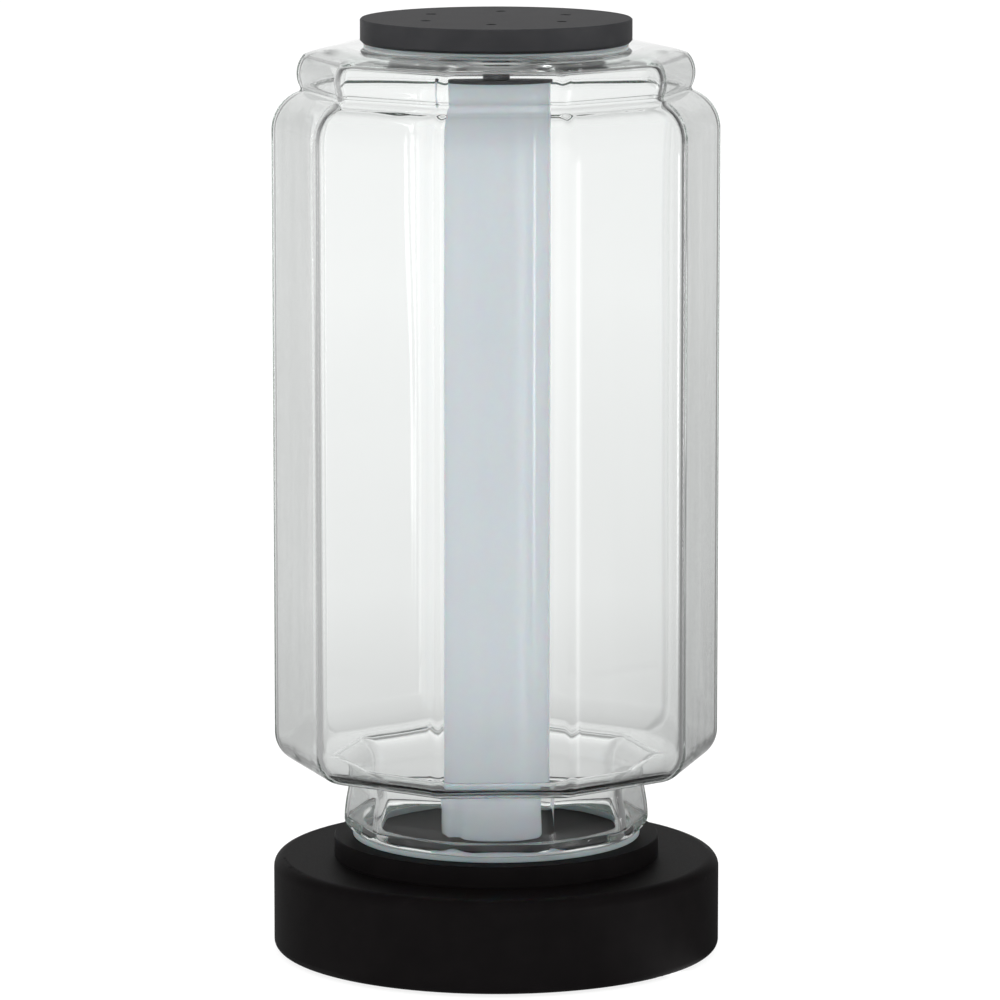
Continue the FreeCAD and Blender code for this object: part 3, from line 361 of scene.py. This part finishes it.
def crownStretches():
    # shoulder, groove, bead and crown; the groove's small round touches both the shoulder's and
    # the bead's
    corner = jar["cornerRound"]
    steady = (corner, corner, corner)
    crown = jar["height"]
    shoulderCentre = Vector((jar["bodyRadius"] - jar["shoulderRound"], crown - jar["shoulderDrop"]))
    beadCentre = Vector((jar["bodyRadius"] - jar["beadInset"], crown - jar["beadDrop"]))
    across = beadCentre - shoulderCentre
    fromShoulder = jar["shoulderRound"] + jar["grooveRound"]
    fromBead = jar["beadRound"] + jar["grooveRound"]
    square = fromShoulder**2 + across.length_squared - fromBead**2
    opened = math.acos(square / (2 * fromShoulder * across.length))
    shoulderEnd = math.atan2(across.y, across.x) - opened
    towards = Vector((math.cos(shoulderEnd), math.sin(shoulderEnd)))
    grooveCentre = shoulderCentre + towards * fromShoulder
    fromBeadCentre = grooveCentre - beadCentre
    beadStart = math.degrees(math.atan2(fromBeadCentre.y, fromBeadCentre.x))
    shoulderEnd = math.degrees(shoulderEnd)
    shoulder = arcPoles(shoulderCentre, jar["shoulderRound"], 0, shoulderEnd, steady)
    groove = arcPoles(grooveCentre, -jar["grooveRound"], shoulderEnd, beadStart, steady)
    bead = arcPoles(beadCentre, jar["beadRound"], beadStart, jar["beadEnd"], steady)
    crownStart = bead[0][-1]
    crownRise = crown - crownStart[1]
    crownBend = crownStart[0] - crownRise * math.tan(math.radians(jar["beadEnd"]))
    crownPoles = [
        crownStart,
        (crownBend, crown, jar["crownCornerRound"]),
        (jar["crownRadius"], crown, jar["crownFlatRound"]),
    ]
    return shoulder, groove, bead, (crownPoles, jar["crownFullness"])


def jarOutside():
    # the outline as stretches of poles (radius, level, corner round) with their middle weight
    corner = jar["cornerRound"]
    edgeRound = jar["bodyFloorRound"]
    foot, neck, fillet, floor = footStretches()
    shoulder, groove, bead, crown = crownStretches()
    edgeCentre = (jar["bodyRadius"] - edgeRound, floor + edgeRound)
    floorEdge = arcPoles(edgeCentre, edgeRound, -90, 0, (corner, corner, corner))
    return {
        "foot": foot,
        "neck": neck,
        "fillet": fillet,
        "floor": straight(fillet[0][-1], floorEdge[0][0]),
        "floorEdge": floorEdge,
        "wall": straight(floorEdge[0][-1], shoulder[0][0]),
        "shoulder": shoulder,
        "groove": groove,
        "bead": bead,
        "crown": crown,
    }


def movedIn(stretch):
    # a stretch moved inwards by the wall, which keeps its tangents
    poles, weight = stretch
    extraCorner = jar["cornerRoundInside"] - jar["cornerRound"]
    legs = []
    for (x1, z1, _), (x2, z2, _) in zip(poles, poles[1:]):
        along = Vector((x2 - x1, z2 - z1)).normalized()
        inward = Vector((-along.y, along.x)) * jar["wall"]
        legs.append((Vector((x1, z1)) + inward, Vector((x2, z2)) + inward, along))
    places = [legs[0][0], legs[-1][1]]
    if len(legs) == 2:
        (start, _, first), (other, _, second) = legs
        gap = other - start
        turned = first.x * second.y - first.y * second.x
        places.insert(1, start + first * ((gap.x * second.y - gap.y * second.x) / turned))
    moved = [(p.x, p.y, min(c + extraCorner, p.x - 1)) for p, (_, _, c) in zip(places, poles)]
    return moved, weight


def roundInto(corner, size):
    x, z, upright = corner
    return arcPoles((x - size, z + size), size, -90, 0, (upright, upright, upright))


def jarInside(outside):
    # the outside moved in by the wall, with fuller rounds at the foot and at the edge of the floor
    inside = {name: movedIn(stretch) for name, stretch in outside.items() if name != "foot"}
    neckPoles, neckWeight = inside["neck"]
    heel = roundInto(neckPoles[0], jar["footRoundInside"])
    inside["neck"] = ([heel[0][-1], *neckPoles[1:]], neckWeight)
    wallFoot = inside["wall"][0][0]
    floorLevel = inside["floor"][0][0][1]
    floorEdge = roundInto((wallFoot[0], floorLevel, wallFoot[2]), jar["floorRoundInside"])
    inside["floor"] = straight(inside["fillet"][0][-1], floorEdge[0][0])
    inside["floorEdge"] = floorEdge
    inside["wall"] = straight(floorEdge[0][-1], inside["shoulder"][0][0])
    return {"heel": heel, **inside}


def sampleStretches(stretches):
    # points (radius, level, corner round) along the outline
    samples = []
    for name, (poles, weight) in stretches.items():
        steps = jarSteps[name]
        for step in range(steps):
            t = step / steps
            shares = ((1 - t) ** 2, 2 * t * (1 - t) * weight, t * t) if len(poles) == 3 else (1 - t, t)
            total = sum(shares)
            samples.append(tuple(sum(s * p[k] for s, p in zip(shares, poles)) / total for k in range(3)))
    samples.append(stretches["crown"][0][-1])
    return samples


def evenedOut(samples):
    # the inside follows the groove and the bead less sharply than the outside does
    start = jar["height"] - jar["shoulderDrop"]
    for _ in range(jar["evenings"]):
        moved = list(samples)
        for index in range(1, len(samples) - 1):
            if samples[index][1] > start:
                before, here, after = samples[index - 1:index + 2]
                moved[index] = tuple((a + 2 * b + c) / 4 for a, b, c in zip(before, here, after))
        samples = moved
    return samples


def jarRing(sample, lift):
    # one ten-sided ring with round corners; every ring has its points at the same angles, which
    # stand closest at the corners
    radius, height, corner = sample
    half = math.pi / jar["sides"]
    heart = radius - corner
    flat = heart * math.cos(half) + corner
    cornerEnd = math.atan2(corner * math.sin(half), heart + corner * math.cos(half))
    columns = jar["columns"]
    ring = []
    for index in range(jar["sides"]):
        for step in range(-columns, columns):
            turn = half * step * abs(step) / columns**2
            if abs(turn) < cornerEnd:
                away = heart * math.cos(turn) + math.sqrt(corner**2 - (heart * math.sin(turn)) ** 2)
            else:
                away = flat / math.cos(half - abs(turn))
            angle = 2 * half * index + turn
            ring.append(Vector((away * math.cos(angle), away * math.sin(angle), height + lift)))
    return ring


def noiseAt(point, across, along, seed):
    return noise.noise(Vector((point.x * across, point.y * across, point.z * along + seed)))


def wave(point, seed):
    # drawn out along the axis, as blown glass is
    slow = noiseAt(point, waves["across"], waves["along"], seed)
    streak = noiseAt(point, waves["streakAcross"], waves["streakAlong"], -seed)
    return slow + waves["streakShare"] * streak


def unevenRings(samples, lift, side, seed):
    # the rings of one side of the glass, shifted by its waves and ripples
    waveFoot, waveRise = waves["foot"]
    waveTop, waveFall = waves["crown"]
    rippleFoot, rippleRise = ripples["foot"]
    rippleTop, rippleFall = ripples["top"]
    rings = []
    for sample in samples:
        height = sample[1]
        up = clamped((height - waveFoot) / waveRise)
        fade = min(up, clamped((jar["height"] - waveTop - height) / waveFall))
        low = clamped((rippleTop - height) / rippleFall)
        rough = low * ripples[side] * clamped((height - rippleFoot) / rippleRise)
        ring = []
        for point in jarRing(sample, lift):
            outward = Vector((point.x, point.y, 0)).normalized()
            ripple = noiseAt(point, ripples["across"], ripples["along"], seed)
            ring.append(point + outward * (wave(point, seed) * waves[side] * fade + ripple * rough))
        rings.append(ring)
    return rings


def openingRing(ring, radius):
    return [Vector((p.x, p.y, 0)).normalized() * radius + Vector((0, 0, p.z)) for p in ring]


def makeJarFinish():
    material, nodeSet, linkSet, shader = newMaterial("clearGlass")
    setSockets(shader, {
        "Base Color": jar["colour"],
        "Roughness": 0.0,
        "IOR": jar["refraction"],
        "Transmission Weight": 1.0,
    })
    depth = nodeSet.new("ShaderNodeVolumeAbsorption")
    depth.inputs["Color"].default_value = (*jar["tint"], 1)
    depth.inputs["Density"].default_value = jar["density"]
    linkSet.new(depth.outputs[0], nodeSet["Material Output"].inputs["Volume"])
    return material


def makeJar():
    lift = level("glass_shade", False) / mm
    outside = jarOutside()
    inside = jarInside(outside)
    outer = unevenRings(sampleStretches(outside), lift, "outside", waves["seedOutside"])
    inner = unevenRings(evenedOut(sampleStretches(inside)), lift, "inside", waves["seedInside"])
    throat = jar["footRimRadius"]
    mouth = jar["mouthRadius"]
    loop = [openingRing(outer[0], throat), *outer, openingRing(outer[-1], mouth)]
    loop += [openingRing(inner[-1], mouth), *inner[::-1], openingRing(inner[0], throat)]
    width = len(loop[0])
    points = [point * mm for ring in loop for point in ring]
    faces = []
    for row in range(len(loop)):
        here = row * width
        above = (row + 1) % len(loop) * width
        for column in range(width):
            beside = (column + 1) % width
            faces.append((here + column, here + beside, above + beside, above + column))
    piece = addMesh("glass_jar", points, faces, makeJarFinish(), jar["sharp"])
    place(piece, "lamp", "glass_shade")


makeJar()
print("glass made")


# gaskets

gasket = {
    "clear": 0.06 * mm,  # off the glass and the metal, so that no two faces coincide
    "edge": 0.45 * mm,
    "edgeSteps": 6,
    "footBore": 50.0 * mm,
    "crownBore": 40.5 * mm,
    "colour": (0.36, 0.42, 0.43),
    "roughness": (0.32, 0.42),
    "grain": 900,
    "refraction": 1.41,
    "clearness": 0.35,
    "milkiness": 0.5,
    "scatter": 1.5 * mm,
}


def makeGasketFinish():
    material, nodeSet, linkSet, shader = newMaterial("silicone")
    fine = addNoise(nodeSet, linkSet, gasket["grain"], grains["cloudDetail"])
    roughness = addNoiseSpan(nodeSet, linkSet, fine, *gasket["roughness"])
    linkSet.new(roughness, shader.inputs["Roughness"])
    setSockets(shader, {
        "Base Color": gasket["colour"],
        "IOR": gasket["refraction"],
        "Transmission Weight": gasket["clearness"],
        "Subsurface Weight": gasket["milkiness"],
        "Subsurface Scale": gasket["scatter"],
    })
    return material


def makeGasket(name, node, bore, body, finish):
    low = level(node, False) + gasket["clear"]
    high = level(node) - gasket["clear"]
    radius = reach(node)
    edge = gasket["edge"]
    corners = [(bore, low, edge), (radius, low, edge), (radius, high, edge), (bore, high, edge)]
    place(turnPiece(name, corners, finish, gasket["edgeSteps"]), body, node)


silicone = makeGasketFinish()
makeGasket("foot_gasket", "lower_gasket", gasket["footBore"], "lamp", silicone)
makeGasket("crown_gasket", "upper_gasket", gasket["crownBore"], "gasket_ring", silicone)
print("gaskets made")


# cap

cap = {
    "dark": (0.023, 0.023, 0.025),
    "light": (0.029, 0.029, 0.031),
    "roughness": (0.48, 0.56),
    "grain": 2600,
    "grainHeight": 0.02 * mm,
    "specular": 0.14,
}

nodes["top_cap"].data.materials[0] = satinLacquer("anthraciteLacquer", cap)
print("cap dressed")


# opal tube

tube = {
    "wall": 3.0 * mm,
    "edge": 0.3 * mm,
    "edgeSteps": 3,
    "edgeKeep": 1 * mm,  # a ring this far from each edge keeps the long walls straight to the light
    "colour": (0.68, 0.725, 0.775),
    "cloudShade": 0.985,  # of that colour, in the clouds
    "cloud": 30,
    "roughness": (0.08, 0.11),
    "refraction": 1.49,
    "milkiness": 0.6,
    "scatter": 4 * mm,
}


def makeOpal():
    material, nodeSet, linkSet, shader = newMaterial("opalAcrylic")
    cloud = addNoise(nodeSet, linkSet, tube["cloud"], grains["cloudDetail"])
    light = tube["colour"]
    dark = tuple(tube["cloudShade"] * part for part in light)
    linkSet.new(addTint(nodeSet, linkSet, cloud, dark, light), shader.inputs["Base Color"])
    roughness = addNoiseSpan(nodeSet, linkSet, cloud, *tube["roughness"])
    linkSet.new(roughness, shader.inputs["Roughness"])
    setSockets(shader, {
        "Subsurface Weight": tube["milkiness"],
        "Subsurface Scale": tube["scatter"],
        "IOR": tube["refraction"],
    })
    return material


def makeTube():
    low = level("diffuser_tube", False)
    high = level("diffuser_tube")
    radius = reach("diffuser_tube")
    bore = radius - tube["wall"]
    edge = tube["edge"]
    keep = tube["edgeKeep"]
    corners = [
        (bore, low, edge), (radius, low, edge), (radius, low + keep, 0), (radius, high - keep, 0),
        (radius, high, edge), (bore, high, edge), (bore, high - keep, 0), (bore, low + keep, 0),
    ]
    piece = turnPiece("opal_tube", corners, makeOpal(), tube["edgeSteps"])
    place(piece, "lamp", "diffuser_tube")


makeTube()
print("tube made")


# finishes of the carried-over pieces

def plainFinish(name, colour, roughness, grain=900, height=0.01 * mm, metallic=0.0, stretch=None):
    dark = tuple(0.9 * part for part in colour)
    spread = (roughness - 0.04, roughness + 0.04)
    return grainedFinish(name, dark, colour, spread, grain, height, stretch, Metallic=metallic)


# each finish: the nodes that have it, then its colour, roughness and what differs from the usual
finishes = {
    "zincSteel": (
        ("base_plate_screws", "stem_nuts", "stem_washer", "driver_screws", "earth_screw"),
        (0.55, 0.56, 0.58), 0.35, {"metallic": 1.0},
    ),
    "blackPlate": (("base_plate",), (0.02, 0.02, 0.02), 0.5, {"grain": 1500}),
    "blackFelt": (("foot_pads",), (0.02, 0.02, 0.02), 0.92, {"grain": 3500, "height": 0.2 * mm}),
    "blackRubber": (("inlet_grommet",), (0.018, 0.018, 0.018), 0.62, {}),
    "darkSteel": (
        ("stem",), (0.16, 0.165, 0.175), 0.24,
        {"grain": 400, "height": 0.005 * mm, "metallic": 1.0, "stretch": (1, 1, 0.02)},
    ),
    "blackPlastic": (("tube_end_cap", "tube_seat"), (0.03, 0.032, 0.036), 0.4, {}),
    "rawAluminium": (
        ("led_core",), (0.75, 0.76, 0.77), 0.32,
        {"grain": 600, "height": 0.005 * mm, "metallic": 1.0, "stretch": (1, 1, 0.03)},
    ),
    "whiteCircuit": (("led_strips",), (0.80, 0.81, 0.80), 0.35, {}),
    "phosphor": (("led_chips",), (0.85, 0.70, 0.22), 0.4, {}),
    "whitePlastic": (("driver_case", "driver_lid"), (0.78, 0.78, 0.76), 0.48, {}),
    "blockPlastic": (("terminal_block",), (0.80, 0.80, 0.78), 0.4, {}),
    "bareBrass": (("terminal_screws", "earth_tag"), (0.72, 0.55, 0.26), 0.3, {"metallic": 1.0}),
    "redLead": (("led_lead_positive",), (0.45, 0.02, 0.02), 0.42, {}),
    "blackLead": (("led_lead_negative",), (0.015, 0.015, 0.015), 0.42, {}),
    "brownLead": (("mains_lead_live",), (0.13, 0.05, 0.02), 0.42, {}),
    "blueLead": (("mains_lead_neutral",), (0.02, 0.09, 0.38), 0.42, {}),
    "earthLead": (("earth_lead",), (0.30, 0.42, 0.03), 0.42, {}),
}
for name, (members, colour, roughness, others) in finishes.items():
    material = plainFinish(name, colour, roughness, **others)
    for member in members:
        nodes[member].data.materials.clear()
        nodes[member].data.materials.append(material)
print("carried-over pieces dressed")


# floor, light and camera, in metres

studio = {
    "floor": 9.0,
    "floorColour": (0.80, 0.80, 0.80),
    "floorRoughness": 0.9,
    "floorWhite": 1.12,
    "seenShare": 0.75,  # of plain white in the floor that is looked at
    "mirroredShare": 0.9,  # of the studio's tone, painted into the floor as light, that glass and lacquer show
    "nearShadowTone": 0.78,  # painted shadow: the floor's tone at the lamp's foot against the floor far off
    "nearRange": (0.2, 2.0),
    "footShadowTone": 0.75,  # and a deeper painted shadow close round the foot
    "footRange": (0.25, 0.8),
    "surround": (2.5, 1.1),  # the light on surfaces, from the level of the lamp and from above it
    "surroundRise": 0.6,
    "overhead": 0.35,  # the studio's tone well above the lamp against level with it
    "overheadRise": 0.4,
    "sideTones": (0.46, 0.12),  # left and right
    "backTones": (1.19, 0.92),
    "backWidth": 0.4,
    "frontTone": 0.80,  # the sides' tone towards the front, against level with the lamp
    "frontWall": 0.50,  # a paler wall straight ahead of the lamp
    "backEdge": (0.82, 0.97),  # where the sides turn into the white behind the lamp
    # painted light: bright patches at the two sides that stand in for softboxes, for glass and the tube
    # to mirror
    "paintedGlows": (
        {"depth": -0.05, "half": 0.10, "left": 2.0, "right": 10.0, "rise": (0.5, 1.5)},
        {"depth": -0.60, "half": 0.30, "left": 0.4, "right": 3.0, "rise": (0.0, 0.1)},
    ),
    "glowEnd": (3.2, 4.2),
    "aim": (0, 0, 0.2),  # of the lamps
    "lamps": (
        {"name": "leftBox", "place": (-1.3, -0.4, 0.6), "size": (0.9, 1.2), "power": 5},
        {"name": "rightBox", "place": (1.3, -0.05, 0.5), "size": (0.4, 1.2), "power": 6},
        {"name": "topBox", "place": (0, -0.9, 1.6), "size": (1.2, 1.0), "power": 6},
    ),
    "camera": (-0.0933, -2.4294, 0.5759),
    "tilt": 9.29,  # degrees down
    "heading": 2.234,  # degrees to the right
    "lens": 227.2,
    "nearest": 0.05,
    "bounces": 160,  # light runs a long way inside the jar's wall
}


def addMath(nodeSet, linkSet, operation, first, second):
    maths = nodeSet.new("ShaderNodeMath")
    maths.operation = operation
    for socket, value in zip(maths.inputs, (first, second)):
        if isinstance(value, (int, float)):
            socket.default_value = value
        else:
            linkSet.new(value, socket)
    return maths.outputs[0]


def addHeading(nodeSet, linkSet, source):
    # how far a direction from the lamp points to the right and to the back, whatever its height
    flat = nodeSet.new("ShaderNodeVectorMath")
    flat.operation = "MULTIPLY"
    flat.inputs[1].default_value = (1, 1, 0)
    unit = nodeSet.new("ShaderNodeVectorMath")
    unit.operation = "NORMALIZE"
    split = nodeSet.new("ShaderNodeSeparateXYZ")
    linkSet.new(source, flat.inputs[0])
    linkSet.new(flat.outputs[0], unit.inputs[0])
    linkSet.new(unit.outputs[0], split.inputs[0])
    return split.outputs["X"], split.outputs["Y"]


def addStudioTone(nodeSet, linkSet, across, depth):
    # how bright the studio is in a direction: white behind the lamp, grey round the sides, with
    # a paler wall straight ahead
    low, high = studio["backEdge"]
    width = studio["backWidth"]
    side = addSpan(nodeSet, linkSet, across, -1, 1, *studio["sideTones"])
    front = addSpan(nodeSet, linkSet, depth, -1, 0, studio["frontTone"], 1)
    sides = addMath(nodeSet, linkSet, "MULTIPLY", side, front)
    back = addSpan(nodeSet, linkSet, across, -width, width, *studio["backTones"])
    share = addSpan(nodeSet, linkSet, depth, low, high, 0, 1)
    gap = addMath(nodeSet, linkSet, "SUBTRACT", back, sides)
    more = addMath(nodeSet, linkSet, "MULTIPLY", gap, share)
    behind = addMath(nodeSet, linkSet, "ADD", sides, more)
    ahead = addSpan(nodeSet, linkSet, depth, -high, -low, studio["frontWall"], 0)
    return addMath(nodeSet, linkSet, "ADD", behind, ahead)


def addPaintedGlow(nodeSet, linkSet, across, depth, distance, glow):
    # painted light: a bright patch at each side, on the ring of floor that upright walls mirror, in
    # place of a softbox
    beside = addMath(nodeSet, linkSet, "SUBTRACT", depth, glow["depth"])
    off = addMath(nodeSet, linkSet, "ABSOLUTE", beside, 0)
    peak = addSpan(nodeSet, linkSet, off, 0, glow["half"], 1, 0)
    strength = addSpan(nodeSet, linkSet, across, -1, 1, glow["left"], glow["right"])
    rise = addSpan(nodeSet, linkSet, distance, *glow["rise"], 0, 1)
    fall = addSpan(nodeSet, linkSet, distance, *studio["glowEnd"], 1, 0)
    patch = addMath(nodeSet, linkSet, "MULTIPLY", peak, strength)
    ring = addMath(nodeSet, linkSet, "MULTIPLY", rise, fall)
    return addMath(nodeSet, linkSet, "MULTIPLY", patch, ring)


def addShown(nodeSet, linkSet, rays):
    # 1 for what glass and lacquer show, 0 for the light that falls on a surface, also through glass
    glossy = rays.outputs["Is Glossy Ray"]
    clear = addMath(nodeSet, linkSet, "MAXIMUM", glossy, rays.outputs["Is Transmission Ray"])
    direct = addMath(nodeSet, linkSet, "LESS_THAN", rays.outputs["Diffuse Depth"], 0.5)
    return addMath(nodeSet, linkSet, "MULTIPLY", clear, direct)


def addFloorTone(nodeSet, linkSet, spot):
    # the studio's tone on the floor, with painted light in bright patches and a painted shadow that
    # darkens it towards the lamp's foot
    away = nodeSet.new("ShaderNodeVectorMath")
    away.operation = "LENGTH"
    linkSet.new(spot, away.inputs[0])
    distance = away.outputs["Value"]
    # painted shadow on the floor round the lamp's foot, which glass and lacquer show
    near = addSpan(nodeSet, linkSet, distance, *studio["nearRange"], studio["nearShadowTone"], 1)
    foot = addSpan(nodeSet, linkSet, distance, *studio["footRange"], studio["footShadowTone"], 1)
    shade = addMath(nodeSet, linkSet, "MULTIPLY", near, foot)
    across, depth = addHeading(nodeSet, linkSet, spot)
    tone = addStudioTone(nodeSet, linkSet, across, depth)
    # painted light: the bright patches added to the floor's tone
    for glow in studio["paintedGlows"]:
        patch = addPaintedGlow(nodeSet, linkSet, across, depth, distance, glow)
        tone = addMath(nodeSet, linkSet, "ADD", tone, patch)
    return addMath(nodeSet, linkSet, "MULTIPLY", tone, shade)


def makeFloor():
    size = studio["floor"]
    corners = [(-size, -size, 0), (size, -size, 0), (size, size, 0), (-size, size, 0)]
    material, nodeSet, linkSet, shader = newMaterial("paleFloor")
    setSockets(shader, {"Base Color": studio["floorColour"], "Roughness": studio["floorRoughness"]})
    rays = nodeSet.new("ShaderNodeLightPath")
    spot = nodeSet.new("ShaderNodeTexCoord")
    # the floor glows with painted light for glass and lacquer: the studio's tone, its bright patches and
    # the painted shadow round the foot
    tone = addFloorTone(nodeSet, linkSet, spot.outputs["Object"])
    shown = addShown(nodeSet, linkSet, rays)
    seen = rays.outputs["Is Camera Ray"]
    white = nodeSet.new("ShaderNodeEmission")
    seenWhite = addMath(nodeSet, linkSet, "MULTIPLY", seen, studio["floorWhite"])
    linkSet.new(addMath(nodeSet, linkSet, "MAXIMUM", seenWhite, tone), white.inputs["Strength"])
    mix = nodeSet.new("ShaderNodeMixShader")
    seenPart = addMath(nodeSet, linkSet, "MULTIPLY", seen, studio["seenShare"])
    shownPart = addMath(nodeSet, linkSet, "MULTIPLY", shown, studio["mirroredShare"])
    linkSet.new(addMath(nodeSet, linkSet, "ADD", seenPart, shownPart), mix.inputs[0])
    linkSet.new(shader.outputs[0], mix.inputs[1])
    linkSet.new(white.outputs[0], mix.inputs[2])
    linkSet.new(mix.outputs[0], nodeSet["Material Output"].inputs["Surface"])
    floor = addMesh("floor", corners, [(0, 1, 2, 3)], material)


def makeWorld():
    # white where it is looked at, the studio's tone in glass and lacquer, an even grey as light
    world = bpy.data.worlds.new("studio")
    bpy.context.scene.world = world
    world.use_nodes = True
    nodeSet = world.node_tree.nodes
    linkSet = world.node_tree.links
    rays = nodeSet.new("ShaderNodeLightPath")
    sky = nodeSet.new("ShaderNodeTexCoord")
    split = nodeSet.new("ShaderNodeSeparateXYZ")
    linkSet.new(sky.outputs["Generated"], split.inputs[0])
    rise = split.outputs["Z"]
    overhead = addSpan(nodeSet, linkSet, rise, 0, studio["overheadRise"], 1, studio["overhead"])
    around = addStudioTone(nodeSet, linkSet, *addHeading(nodeSet, linkSet, sky.outputs["Generated"]))
    tone = addMath(nodeSet, linkSet, "MULTIPLY", around, overhead)
    surround = addSpan(nodeSet, linkSet, rise, 0, studio["surroundRise"], *studio["surround"])
    shown = addShown(nodeSet, linkSet, rays)
    gap = addMath(nodeSet, linkSet, "SUBTRACT", tone, surround)
    more = addMath(nodeSet, linkSet, "MULTIPLY", gap, shown)
    light = addMath(nodeSet, linkSet, "ADD", more, surround)
    strength = addMath(nodeSet, linkSet, "MAXIMUM", light, rays.outputs["Is Camera Ray"])
    linkSet.new(strength, nodeSet["Background"].inputs["Strength"])
    nodeSet["Background"].inputs["Color"].default_value = (1, 1, 1, 1)


def makeLamp(values):
    data = bpy.data.lights.new(values["name"], "AREA")
    data.shape = "RECTANGLE"
    data.size, data.size_y = values["size"]
    data.energy = values["power"]
    lamp = bpy.data.objects.new(values["name"], data)
    lamp.location = values["place"]
    lamp.visible_glossy = False  # the studio's tone is what lacquer and glass mirror
    lamp.visible_transmission = False
    facing = Vector(studio["aim"]) - Vector(values["place"])
    lamp.rotation_euler = facing.to_track_quat("-Z", "Y").to_euler()
    bpy.context.scene.collection.objects.link(lamp)


def makeCamera():
    data = bpy.data.cameras.new("camera")
    data.lens = studio["lens"]
    data.clip_start = studio["nearest"]
    camera = bpy.data.objects.new("camera", data)
    camera.location = studio["camera"]
    camera.rotation_euler = (math.radians(90 - studio["tilt"]), 0, -math.radians(studio["heading"]))
    bpy.context.scene.collection.objects.link(camera)
    bpy.context.scene.camera = camera


makeFloor()
makeWorld()
for values in studio["lamps"]:
    makeLamp(values)
makeCamera()
bpy.context.scene.view_settings.view_transform = "Standard"
bpy.context.scene.cycles.max_bounces = studio["bounces"]
bpy.context.scene.cycles.glossy_bounces = studio["bounces"]
bpy.context.scene.cycles.transmission_bounces = studio["bounces"]
print("studio set")
